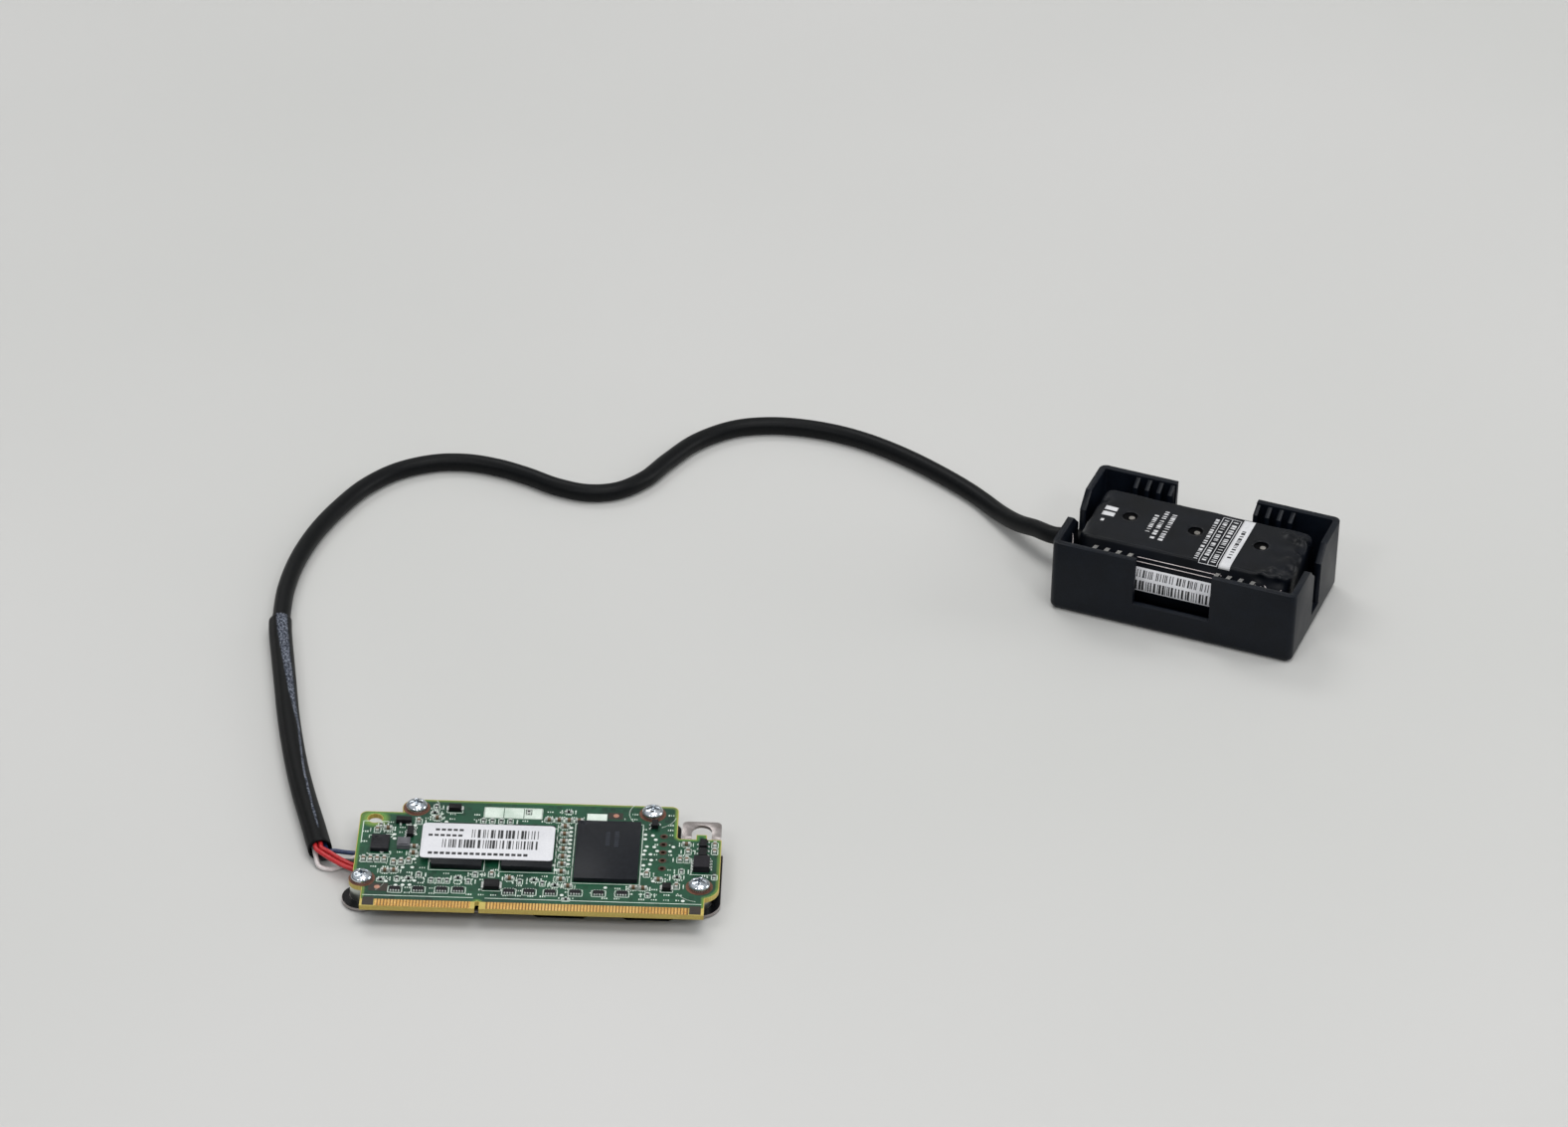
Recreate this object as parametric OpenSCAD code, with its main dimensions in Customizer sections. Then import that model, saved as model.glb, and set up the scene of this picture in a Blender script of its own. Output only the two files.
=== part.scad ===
// Cache memory module with its lead and a capacitor pack in an open tray.
// Origin: middle of the module's underside film, on the surface it lies on. X runs along the edge connector.

/* [Circuit board] */
// Thickness of the circuit board
board_t = 1.0; // [0.8:0.1:1.6]
// Width of the connector tongue
tongue_w = 64; // [60:0.5:70]
// Depth of the connector tongue, from its front edge to the screws' corner rounds
tongue_l = 4.2; // [3.6:0.1:5.5]
// Depth of the board from the connector edge to the back edge
board_l = 33.5; // [31:0.5:40]
// Overhang of the board beyond the tongue on the left
left_overhang = 2.0; // [1:0.1:4]
// Overhang of the board beyond the tongue on the right
right_overhang = 2.6; // [1:0.1:4]
// Depth at which the right side steps back behind the forked tab
recess_y = 23.4; // [22:0.1:26]
// Distance of that step's side from the board's right edge
recess_w = 8.4; // [7:0.1:10]
// Depth at which the left ear ends
ear_y = 29.3; // [26:0.1:31]
// Radius of the board's outer corners
corner_r = 1.4; // [0.5:0.1:3]
// Radius of the hole in the left ear
ear_hole_r = 1.4; // [0.8:0.1:1.8]
// Width of the locating nub in the recess
nub_w = 2.0; // [1:0.1:3]
// Length of the locating nub
nub_l = 1.5; // [0.8:0.1:2]
// Radius of the plated holes of the test header
header_r = 0.45; // [0.3:0.05:0.6]
// Pitch of the test header
header_pitch = 2.5; // [2:0.1:2.6]

/* [Edge connector] */
// Pitch of the contact fingers
contact_pitch = 0.6; // [0.5:0.05:0.6]
// Width of one contact finger
contact_w = 0.36; // [0.2:0.02:0.42]
// Length of one contact finger
contact_l = 2; // [1.6:0.05:2.6]
// Thickness of the contact plating
contact_t = 0.04; // [0.03:0.01:0.08]
// Setback of the contacts from the front edge
contact_setback = 0.1; // [0.05:0.05:0.6]
// Number of contacts left of the key notch
contacts_left = 30; // [20:1:30]
// Number of contacts right of the key notch
contacts_right = 62; // [40:1:62]
// Margin from the tongue's left edge to the first contact's centre
contact_margin = 3; // [2.5:0.1:4]
// Distance between the contacts either side of the key notch
key_gap = 3.6; // [3:0.1:3.6]
// Width of the key notch
key_w = 0.8; // [0.6:0.1:1.5]
// Depth of the key notch
key_l = 2.3; // [2:0.1:3.6]

/* [Chips] */
// Width of the flash chip
flash_w = 12; // [8:0.5:13]
// Length of the flash chip
flash_l = 18; // [12:0.5:18.5]
// Height of the flash chip above the board
flash_h = 1.0; // [0.6:0.1:1.4]
// Width of one memory chip
memory_w = 9.5; // [8:0.5:10]
// Length of one memory chip
memory_l = 13; // [9:0.5:13.5]
// Height of the memory chips above the board
memory_h = 1.1; // [0.7:0.1:1.4]
// Distance between the two memory chips' centres
memory_pitch = 13.2; // [12:0.1:14]
// Width of the board label
label_w = 25; // [20:0.5:26]
// Depth of the board label
label_l = 10.8; // [8:0.2:12]
// Thickness of the labels
label_t = 0.12; // [0.05:0.01:0.2]
// Width of the power controller
controller_w = 3.4; // [3:0.1:4]
// Length of the power controller
controller_l = 4.4; // [3:0.1:5]
// Height of the power controller
controller_h = 0.9; // [0.6:0.1:1.2]
// Height of the logic chip
logic_h = 1.4; // [1:0.1:1.7]
// Height of the transistors and diodes
transistor_h = 0.95; // [0.7:0.05:1.2]
// Height of the inductor
inductor_h = 1.2; // [0.8:0.1:1.5]
// Height of the resistor arrays
array_h = 0.5; // [0.4:0.05:0.7]

/* [Screws and standoffs] */
// Outer radius of a standoff
standoff_r = 2.2; // [1.8:0.1:2.3]
// Height of the standoffs between the plate and the board
standoff_h = 2.8; // [2.6:0.1:5]
// Thread radius of the screws
screw_r = 1.0; // [0.8:0.05:1.2]
// Radial clearance of the screws in the board and standoffs
screw_clearance = 0.05; // [0.02:0.01:0.1]
// Length of a screw below its head
screw_l = 3.4; // [2.5:0.1:3.6]
// Radius of a screw head
screw_head_r = 2.0; // [1.7:0.1:2.2]
// Height of a screw head
screw_head_h = 1.5; // [1.1:0.1:1.8]
// Radius of the copper land round each screw
land_r = 2.55; // [2.3:0.05:2.8]

/* [Base plate] */
// Thickness of the sheet steel
sheet_t = 0.6; // [0.5:0.1:1]
// Thickness of the insulating film on the plate
film_t = 0.1; // [0.08:0.02:0.2]
// Thickness of the insulating film under the plate
base_film_t = 0.3; // [0.2:0.05:0.5]
// Inset of the underside film from the plate's edge
film_inset = 0.4; // [0.2:0.1:1]
// Setback of the plate's front edge behind the connector edge
plate_setback = 4.8; // [4.3:0.1:6]
// Length of the forked tab behind its bend
tab_l = 5.2; // [4:0.1:7]
// Radius of the fork slot
fork_r = 1.9; // [1.5:0.1:2.2]
// Inner bend radius of the sheet
bend_r = 0.3; // [0.2:0.1:0.8]
// Gap between the board's step and the tab's upright
tab_gap = 0.4; // [0.2:0.1:1]

/* [Holder tray] */
// Room between the pack's ends and the tray's end walls
end_room = 2.15; // [2:0.05:4]
// Width of the tray
tray_w = 31; // [30.5:0.5:36]
// Height of the tray
tray_h = 16; // [15.5:0.5:20]
// Wall thickness of the tray
tray_wall = 1.3; // [1:0.1:1.5]
// Floor thickness of the tray
tray_floor = 1.4; // [1:0.1:2]
// Radius of the tray's outer corners and lower edges
tray_r = 1.5; // [1.5:0.1:2]
// Width of the windows in the long walls
window_w = 16; // [12:0.5:18]
// Further width of the back window, at its left
back_window_more = 1; // [0:0.1:2]
// Height of the front window's sill
sill_front = 5.6; // [4:0.1:7]
// Height of the back window's sill
sill_back = 10; // [6:0.5:12]
// Width of the cable slots in the end walls
slot_w = 4.6; // [4.2:0.1:5.5]
// Height of the cable slots' lower ends
slot_z = 3.6; // [3:0.1:5]
// Width of the slots' flared mouths
mouth_w = 11; // [8:0.5:12]
// Depth of the slots' flared mouths
mouth_h = 3; // [2:0.1:4]
// Width of one grip rib
rib_w = 0.9; // [0.6:0.1:1.2]
// Pitch of the grip ribs
rib_pitch = 2.45; // [2:0.05:3]
// Margin from the front window to the ribs on its left
rib_margin = 1.25; // [1.2:0.05:2]
// Number of grip ribs on each wall segment
rib_count = 4; // [2:1:5]
// Gap between the ribs and the pack
rib_gap = 0.12; // [0.05:0.01:0.3]
// Fall of a rib's sloping top
rib_fall = 1.2; // [0.5:0.1:2]

/* [Capacitor pack] */
// Radius of one capacitor cell
cell_r = 5.7; // [5:0.1:5.8]
// Length of one capacitor cell
cell_l = 20.4; // [18:0.2:21]
// Gap between neighbouring cells
cell_gap = 0.1; // [0.05:0.05:0.3]
// Thickness of the heat-shrunk sleeve
sleeve_t = 0.3; // [0.2:0.05:0.5]
// Thickness of the balancing board on the cells
cell_board_t = 1.6; // [0.8:0.1:1.6]
// Width of the balancing board
cell_board_w = 17.2; // [14:0.2:17.6]
// Radius of the holes in the sleeve
pack_hole_r = 1.5; // [1:0.1:2]
// Distance between the holes
pack_hole_pitch = 13.8; // [12:0.1:14.5]
// Gap between the sleeve and what it holds
wrap_gap = 0.1; // [0.05:0.05:0.3]

/* [Lead] */
// Diameter of the cable's jacket
cable_d = 3.6; // [3:0.1:4]
// Diameter of the sleeve at the cable's module end
cable_sleeve_d = 4.6; // [4.2:0.1:5]
// Diameter of one wire
wire_d = 0.9; // [0.7:0.05:1]
// Pitch of the wires in the plug
wire_pitch = 1.25; // [1.25:0.05:1.5]

/* [Hidden] */
$fn = 48;

// Overlap that joins the pieces of one solid, and the reach of a cut past a face
eps = 0.05;
cut = 1;

// Heights of the module's layers
plate_z = base_film_t;
plate_top = plate_z + sheet_t;
film_top = plate_top + film_t;
board_z = plate_top + standoff_h;
board_top = board_z + board_t;

// The board's plan, measured from the front left corner of the tongue
datum_y = 19;
board_left = -left_overhang;
board_right = tongue_w + right_overhang;
step_x = board_right - recess_w;
ear_r = 2.4;
round_r = 3.7;
screw_ll = [-0.2, 8.3];
screw_lr = [board_right - round_r, 8.7];
screw_ul = [8.5, board_l - 2.7];
screw_ur = [step_x - 4.9, board_l - 2.5];
screws = [screw_ll, screw_lr, screw_ul, screw_ur];
board_hole_r = screw_r + 0.15;
ear_hole = [0.9, ear_y - 2.2];
header = [step_x - 2.5, recess_y - 9.4];
header_count = 5;
fork_x = step_x + 4.6;
last_left_x = contact_margin + (contacts_left - 1) * contact_pitch;
key_x = last_left_x + 1.4;
right_contacts_x = last_left_x + key_gap;

// A place given as percentages of the tongue's width and the board's depth, with an optional turn
function share(p) = [p[0] / 100 * tongue_w, p[1] / 100 * board_l];

// The two memory chips and the label that lies on them
memory_front = share([0, 35.8])[1];
memory_x = share([37.2, 0])[0] - memory_pitch / 2;
label_x = memory_x - 7;
label_y = memory_front + 1.8;
flash_at = share([61.4, 27.2]);

// The plate's plan
plate_left = -1.2;
plate_right = board_right + 0.3;
lobe_r = 3.7;
plate_notch = [4.6, 22.5];
plate_back = board_l - 0.3;
upright_y = recess_y + tab_gap;
tab_x = step_x + 0.9;
tab_right = plate_right - 0.4;
tab_top = board_top;

// The tray stands behind the module, turned to the right
tray_at = [126.8, 97.5];
tray_yaw = -20;
inner_w = tray_w - 2 * tray_wall;

// The capacitor pack, measured from the tray's floor
cell_pitch = 2 * cell_r + cell_gap;
wrap = wrap_gap + sleeve_t;
cell_z = wrap + cell_r;
cell_board_z = cell_z + cell_r + wrap_gap / 2;
pack_top = cell_board_z + cell_board_t + wrap;
pack_half_w = cell_pitch / 2 + cell_r + wrap;
cells_l = 2 * cell_l + cell_gap;
pack_end = cells_l / 2 + 1.6;
inner_l = 2 * (pack_end + end_room);
tray_l = inner_l + 2 * tray_wall;
cable_z = tray_floor + cell_z;
rib_l = inner_w / 2 - pack_half_w - rib_gap;

// A point given from the tray's middle, in the part's frame
function tray_point(x, y, z) = [
    tray_at[0] + x * cos(tray_yaw) - y * sin(tray_yaw),
    tray_at[1] + x * sin(tray_yaw) + y * cos(tray_yaw), z];

// The cable's route, from the pack along the surface to the sleeve
cable_lie = cable_d / 2;
cable_route = concat(
    [tray_point(-pack_end, 0, cable_z), tray_point(-pack_end - 4, 0, cable_z),
     tray_point(-pack_end - 8, 0, cable_z - 0.6)],
    [[95, 112, 5.6], [91.5, 116.5, 3.8], [88, 122, 2.4]],
    [for (p = [[84, 128], [77, 135.5], [67, 144], [58, 149.5], [49.5, 152.5], [41, 153.5], [33, 152],
        [25, 146.5], [19, 138.5], [14.5, 131.5], [9, 127], [3, 126], [-3.5, 128], [-9.5, 131.5],
        [-16, 134.5], [-22.5, 136], [-29, 135.5], [-36.5, 132], [-42.5, 126], [-47, 118.5],
        [-51, 109.5], [-54, 99], [-55.5, 88], [-55.5, 75.5]]) [p[0], p[1], cable_lie]]);
sleeve_lie = cable_sleeve_d / 2;
sleeve_route = [for (p = [[-55.5, 75.5], [-55.5, 72], [-54, 64], [-52.5, 54], [-51, 44], [-49.2, 34], [-47.2, 24.5],
    [-45.2, 16.5], [-43, 8.5], [-41, 1]]) [p[0], p[1], sleeve_lie]];

// The wires leave the sleeve side by side and run under the board's left edge to the plug
plug_at = [-0.8, 16.5];
socket_gap = 0.1;
wire_z = (film_top + socket_gap + board_z) / 2;
sleeve_end = sleeve_route[len(sleeve_route) - 1];
sleeve_out = unit(sleeve_end - sleeve_route[len(sleeve_route) - 2]);
sleeve_side = [sleeve_out[1], -sleeve_out[0], 0];
function unit(v) = v / norm(v);
function wire_start(side, up, run) = sleeve_end + side * sleeve_side + run * sleeve_out + [0, 0, up];
function wire_end(k, run) = [plug_at[0] - run - tongue_w / 2,
    plug_at[1] + k * wire_pitch - datum_y, wire_z];
function wire_route(side, up, middle, k) = concat(
    [wire_start(side, up, 0), wire_start(side, up, 1.2)],
    [for (p = middle) [p[0] - tongue_w / 2, p[1] - datum_y, p[2]]],
    [wire_end(k, 1.4), wire_end(k, 0)]);
red_a_route = wire_route(0.9, 1.1, [[-8.4, 17.6, 3.2], [-5.4, 15.2, 3]], -2);
red_b_route = wire_route(-0.1, 1.25, [[-7.4, 18.2, 3.3], [-4.8, 16.1, 3.1]], -1);
black_route = wire_route(0, -1.2, [[-7.2, 18.3, 1.6], [-5.2, 17.3, 1.9]], 0);
white_route = wire_route(1, -0.7, [[-9, 17, 0.7], [-6.8, 16.3, 0.5], [-5, 17, 0.6], [-3.6, 17.6, 1.3]], 1);
navy_route = wire_route(-1.1, 0.2, [[-6.4, 19.4, 2.5], [-4.4, 19.1, 2.5]], 2);

// Rings of points along a route, and the closed tube through them
function tangent(route, k) = unit(route[min(k + 1, len(route) - 1)] - route[max(k - 1, 0)]);
function ring(route, k, r, sides) =
    let (t = tangent(route, k), side = unit([-t[1], t[0], 0]), up = cross(t, side))
    [for (s = [0:sides - 1]) route[k] + r * (cos(360 * s / sides) * side + sin(360 * s / sides) * up)];
module skin(rings) {
    n = len(rings[0]);
    last = len(rings) - 1;
    points = [for (row = rings) each row];
    walls = [for (k = [0:last - 1]) for (s = [0:n - 1])
        [k * n + s, k * n + (s + 1) % n, (k + 1) * n + (s + 1) % n, (k + 1) * n + s]];
    caps = [[for (s = [n - 1:-1:0]) s], [for (s = [0:n - 1]) last * n + s]];
    polyhedron(points, concat([for (w = walls) [w[3], w[2], w[1], w[0]]], [for (c = caps)
        [for (k = [len(c) - 1:-1:0]) c[k]]]), convexity = 8);
}
module tube(route, d, sides = 8) {
    skin([for (k = [0:len(route) - 1]) ring(route, k, d / 2, sides)]);
}

// Plain building blocks
module on_board() {
    translate([-tongue_w / 2, -datum_y, 0]) children();
}
module on_top() {
    on_board() translate([0, 0, board_top]) children();
}
module box_xy(x0, y0, x1, y1) {
    translate([x0, y0]) square([x1 - x0, y1 - y0]);
}
module rounded_xy(x0, y0, x1, y1, r) {
    box_xy(x0 + r, y0, x1 - r, y1);
    box_xy(x0, y0 + r, x1, y1 - r);
    for (x = [x0 + r, x1 - r]) for (y = [y0 + r, y1 - r]) translate([x, y]) circle(r);
}
module inner_fillet(x, y, sx, sy, r) {
    translate([x, y]) mirror([sx < 0 ? 1 : 0, 0]) mirror([0, sy < 0 ? 1 : 0]) difference() {
        translate([-eps, -eps]) square(r + eps);
        translate([r, r]) circle(r);
    }
}

// Circuit board
module board_outline() {
    box_xy(0, 0, tongue_w, recess_y);
    box_xy(board_left, screw_ll[1], step_x, recess_y + 1);
    box_xy(tongue_w - 4, screw_lr[1], board_right, recess_y);
    translate(screw_ll) circle(ear_r);
    translate(screw_lr) circle(round_r);
    rounded_xy(board_left, recess_y - 4, screw_ul[0] + 4, ear_y, corner_r);
    rounded_xy(screw_ul[0], recess_y - 4, step_x, board_l, corner_r);
    translate(screw_ul) circle(board_l - screw_ul[1]);
    box_xy(fork_x - nub_w / 2, recess_y - 1, fork_x + nub_w / 2, recess_y + nub_l);
    inner_fillet(step_x, recess_y, 1, 1, 0.7);
    inner_fillet(0, screw_ll[1] - ear_r, -1, -1, 0.5);
}
module circuit_board() {
    color("#1f4d3a") on_board() translate([0, 0, board_z]) linear_extrude(board_t) difference() {
        board_outline();
        box_xy(key_x - key_w / 2, -cut, key_x + key_w / 2, key_l - key_w / 2);
        translate([key_x, key_l - key_w / 2]) circle(key_w / 2);
        for (s = screws) translate(s) circle(board_hole_r);
        translate(ear_hole) circle(ear_hole_r);
        for (k = [0:header_count - 1]) translate(header + [0, k * header_pitch]) circle(header_r);
    }
}

// Contact fingers on both faces of the tongue
module contact_row(count) {
    for (k = [0:count - 1])
        translate([k * contact_pitch - contact_w / 2, contact_setback, 0])
            cube([contact_w, contact_l, contact_t]);
}
module edge_contacts() {
    color("#e0a84c") on_board() for (z = [board_z - contact_t, board_top]) translate([0, 0, z]) {
        translate([contact_margin, 0, 0]) contact_row(contacts_left);
        translate([right_contacts_x, 0, 0]) contact_row(contacts_right);
    }
}
module screw_lands() {
    color("#8a5a40") on_top() linear_extrude(contact_t) intersection() {
        board_outline();
        difference() {
            for (s = screws) translate(s) circle(land_r);
            for (s = screws) translate(s) circle(board_hole_r);
        }
    }
}

// Square-cornered packages with a dimple that marks the first ball
module package(w, l, h) {
    difference() {
        cube([w, l, h]);
        translate([1, l - 1, h - 0.08]) cylinder(h = cut, r = 0.4);
    }
}
module flash_chip() {
    color("#1c1f26") on_top() translate(flash_at) package(flash_w, flash_l, flash_h);
}
module memory_pair() {
    for (k = [0, 1]) translate([memory_x - memory_w / 2 + k * memory_pitch, memory_front, 0])
        package(memory_w, memory_l, memory_h);
}
module memory_chips() {
    color("#22252b") on_top() memory_pair();
}
module lower_memory_chips() {
    color("#22252b") on_board() translate([0, 0, board_z - memory_h]) memory_pair();
}
module board_label() {
    color("#dcdce0") on_top() translate([0, 0, memory_h]) linear_extrude(label_t)
        rounded_xy(label_x, label_y, label_x + label_w, label_y + label_l, 0.8);
}
module power_controller() {
    color("#25252a") on_top() translate(share([1.2, 49.6])) package(controller_w, controller_l, controller_h);
}

// A moulded body with gull-wing leads along its two long sides
module lead(l, h, w) {
    t = 0.15;
    translate([0, -w / 2, 0]) rotate([90, 0, 180]) translate([0, 0, -w]) linear_extrude(w) polygon([
        [-eps, h / 2], [l * 0.35, h / 2], [l * 0.5, t], [l, t], [l, 0], [l * 0.4, 0],
        [l * 0.25, h / 2 - t], [-eps, h / 2 - t]]);
}
module leaded(w, l, h, leads_left, leads_right, reach = 0.55) {
    foot = 0.05;
    slope = 0.08;
    rotate([90, 0, 0]) translate([0, 0, -l / 2]) linear_extrude(l) polygon([
        [-w / 2 + slope, foot], [w / 2 - slope, foot], [w / 2, h / 2],
        [w / 2 - slope, h], [-w / 2 + slope, h], [-w / 2, h / 2]]);
    for (k = leads_left) translate([-w / 2, k, 0]) lead(reach, h, 0.4);
    for (k = leads_right) translate([w / 2, k, 0]) rotate([0, 0, 180]) lead(reach, h, 0.4);
}
module transistors() {
    color("#1d1d20") on_top() {
        translate(share([10, 78.2])) rotate([0, 0, 90]) leaded(1.4, 2.9, transistor_h, [-0.95, 0.95], [0]);
        translate(share([12.3, 67.5])) leaded(1.3, 2.6, transistor_h, [-0.8, 0, 0.8], [-0.8, 0, 0.8], 0.4);
        translate(share([98.8, 63.9])) leaded(1.4, 2.2, transistor_h, [-0.7, 0.7], [-0.7, 0.7], 0.5);
        translate(share([98.8, 55.5])) leaded(1.4, 2.2, transistor_h, [-0.7, 0.7], [-0.7, 0.7], 0.5);
        translate(share([84.2, 81.2])) leaded(1.3, 1.9, transistor_h, [-0.6, 0.6], [0], 0.45);
    }
}
module logic_chip() {
    color("#26242a") on_top() translate(share([98.6, 44.5]))
        leaded(3.1, 3.6, logic_h, [-1.3, -0.45, 0.45, 1.3], [-1.3, -0.45, 0.45, 1.3], 0.45);
}
module diodes() {
    color("#17171a") on_top() {
        translate(share([24.7, 91.3])) rotate([0, 0, 90]) leaded(1.5, 2.4, transistor_h, [], []);
        translate(share([37.8, 20.9])) leaded(3, 2.3, transistor_h, [], []);
        translate(share([88.8, 23.3])) leaded(1.7, 1.6, transistor_h, [], []);
    }
}
module power_inductor() {
    color("#6b6b70") on_top() translate(share([8.9, 52.5])) {
        cube([2.4, 2.6, inductor_h - 0.2]);
        translate([0.3, 0.3, 0]) cube([1.8, 2, inductor_h]);
    }
}

// Chip parts: two end caps on a body, and the four-element array
module chip_part(l, w, h) {
    cap = l / 4;
    skin_t = 0.03;
    translate([-l / 2, -w / 2 + skin_t, 0]) cube([l, w - 2 * skin_t, h - skin_t]);
    for (x = [-l / 2, l / 2 - cap]) translate([x, -w / 2, 0]) cube([cap, w, h]);
}
module array_part() {
    pitch = 0.5;
    translate([-1, -0.5, 0]) cube([2, 1, array_h]);
    for (k = [-1.5:1:1.5]) for (s = [-1, 1])
        translate([k * pitch - 0.15, s * 0.5 - 0.15, 0]) cube([0.3, 0.3, array_h - 0.05]);
}
array_spots = [[9.8, 15.5], [16.6, 15.8], [23.4, 16.1], [28.3, 16.4], [43, 16.1], [48.9, 16.4],
    [55, 16.4], [62.3, 17], [69.1, 17], [75.9, 17.3]];
module resistor_arrays() {
    color("#2b2b2f") on_top() for (s = array_spots) translate(share(s)) array_part();
}
// Places of the chip capacitors and resistors as percentages of the board, and their turn
capacitor_spots = concat(
    [for (k = [0:3]) [-0.5 + k * 2.03, 42.4, 90]],
    [for (k = [0:7]) [57.7, 28.7 + k * 7.01, 0]],
    [for (k = [0:3]) [52.8 + k * 2.97, 83.6, 0]],
    [[8.4, 40, 90], [10.6, 40.6, 90], [12.8, 41.8, 90], [13.9, 49, 0], [13.9, 54.9, 0],
     [14.4, 78.8, 90], [5.6, 71.6, 0], [2.5, 69.9, 90], [6.2, 32.2, 0], [8.8, 32.5, 0],
     [37.5, 31.6, 90], [42.8, 28.1, 0], [60, 22.7, 0], [79.1, 23, 0], [81.9, 22.7, 0],
     [93.8, 64.5, 0], [94.4, 57.9, 90], [92.2, 50.1, 90], [94.2, 50.1, 90], [102.2, 64.5, 90],
     [102.2, 58.5, 90], [91.6, 25.7, 90], [19.7, 82.4, 0], [82.7, 35.8, 90], [86.2, 31, 0]]);
resistor_spots = concat(
    [for (k = [0:2]) [20 + k * 2.34, 24.5, 90]],
    [for (k = [0:3]) [33.4 + k * 2.66, 81.2, 90]],
    [[3.4, 74.6, 90], [5.3, 23.9, 0], [10, 25.1, 90], [13.4, 25.7, 0], [16.2, 29.6, 90],
     [27.8, 27.5, 0], [30.9, 24.5, 90], [32.7, 31, 90], [45.9, 25.7, 90], [50, 27.5, 0],
     [52.5, 24.5, 90], [56.2, 23.3, 0], [59.7, 10.7, 0], [83.4, 16.7, 90], [92.8, 39.4, 90],
     [91.6, 34, 0], [102.5, 34.9, 90], [46.6, 90.7, 90], [58.4, 91.9, 0], [18.8, 87.5, 0],
     [19.1, 93.1, 90]]);
module ceramic_capacitors() {
    color("#8a6f55") on_top() for (s = capacitor_spots)
        translate(share(s)) rotate([0, 0, s[2]]) chip_part(1.2, 0.65, 0.6);
}
module chip_resistors() {
    color("#2a2c31") on_top() for (s = resistor_spots)
        translate(share(s)) rotate([0, 0, s[2]]) chip_part(1, 0.5, 0.35);
}

// Screws, and the standoffs pressed into the plate
module screw() {
    rim = 0.45;
    dome_h = screw_head_h - rim;
    dome_r = (pow(screw_head_r, 2) + pow(dome_h, 2)) / (2 * dome_h);
    translate([0, 0, -screw_l]) cylinder(h = screw_l + eps, r = screw_r);
    difference() {
        union() {
            cylinder(h = rim, r = screw_head_r);
            intersection() {
                translate([0, 0, screw_head_h - dome_r]) sphere(dome_r, $fn = 96);
                cylinder(h = screw_head_h + cut, r = screw_head_r);
            }
        }
        for (a = [0, 90]) rotate([0, 0, a]) translate([-1.1, -0.25, screw_head_h - 0.9])
            cube([2.2, 0.5, cut]);
    }
}
module board_screws() {
    color("#c4c9ce") on_top() for (s = screws) translate([s[0], s[1], contact_t]) screw();
}
module standoffs() {
    foot_r = standoff_r - 0.5;
    color("#c9cfc7") on_board() for (s = screws) translate([s[0], s[1], 0]) difference() {
        union() {
            translate([0, 0, plate_top]) cylinder(h = standoff_h, r = standoff_r);
            translate([0, 0, plate_z]) cylinder(h = sheet_t + eps, r = foot_r);
        }
        translate([0, 0, plate_z - cut]) cylinder(h = standoff_h + sheet_t + 2 * cut,
            r = screw_r + screw_clearance);
    }
}

// The plate's outline, drawn smaller by an inset
module plate_outline(inset) {
    difference() {
        union() {
            translate([screw_ll[0], screw_ll[1] - 0.7]) circle(lobe_r - inset);
            rounded_xy(plate_left + inset, plate_setback + inset, plate_right - inset,
                upright_y - bend_r - inset, 4);
            box_xy(plate_left + inset, plate_setback + inset, 12, 12);
            box_xy(plate_left + inset, 12, plate_right - inset, upright_y - bend_r - inset);
            rounded_xy(plate_notch[0] + inset, 15, step_x + 0.6 - inset, plate_back - inset, 2);
        }
        box_xy(plate_left - cut, plate_notch[1] - inset, plate_notch[0] + inset, plate_back);
    }
}
module standoff_holes(r) {
    for (s = screws) translate(s) circle(r);
}
// The tab rises behind the board's step and folds back level with its top face
module tab_profile() {
    outer_r = bend_r + sheet_t;
    low = [upright_y - bend_r, plate_top + bend_r];
    high = [upright_y + outer_r, tab_top - outer_r];
    box_xy(low[0] - 2, plate_z, low[0] + eps, plate_top);
    box_xy(upright_y, low[1] - eps, upright_y + sheet_t, high[1] + eps);
    box_xy(high[0] - eps, tab_top - sheet_t, upright_y + tab_l, tab_top);
    intersection() {
        translate(low) difference() {
            circle(outer_r);
            circle(bend_r);
        }
        box_xy(low[0], plate_z - cut, low[0] + outer_r + cut, low[1]);
    }
    intersection() {
        translate(high) difference() {
            circle(outer_r);
            circle(bend_r);
        }
        box_xy(high[0] - outer_r - cut, high[1], high[0], tab_top + cut);
    }
}
module fork_cut() {
    slot_end = upright_y + tab_l - 1.1 - fork_r;
    translate([fork_x, slot_end, -cut]) cylinder(h = tab_top + 2 * cut, r = fork_r);
    translate([fork_x - fork_r, upright_y - cut, plate_top + 0.7])
        cube([2 * fork_r, slot_end - upright_y + cut, tab_top]);
}
module base_plate() {
    color("#a29c9a") on_board() {
        translate([0, 0, plate_z]) linear_extrude(sheet_t) difference() {
            union() {
                plate_outline(0);
                rounded_xy(4.5, plate_setback - 0.5, 26.5, plate_setback + 1, 0.4);
            }
            standoff_holes(standoff_r - 0.5);
        }
        difference() {
            intersection() {
                translate([tab_x, 0, 0]) rotate([90, 0, 90]) linear_extrude(tab_right - tab_x) tab_profile();
                linear_extrude(tab_top + cut) rounded_xy(tab_x, plate_setback, tab_right,
                    upright_y + tab_l, 1.1);
            }
            fork_cut();
        }
    }
}
module plate_film() {
    color("#15151a") on_board() translate([0, 0, plate_top]) linear_extrude(film_t) difference() {
        plate_outline(0.05);
        standoff_holes(standoff_r + 0.1);
    }
}
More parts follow.
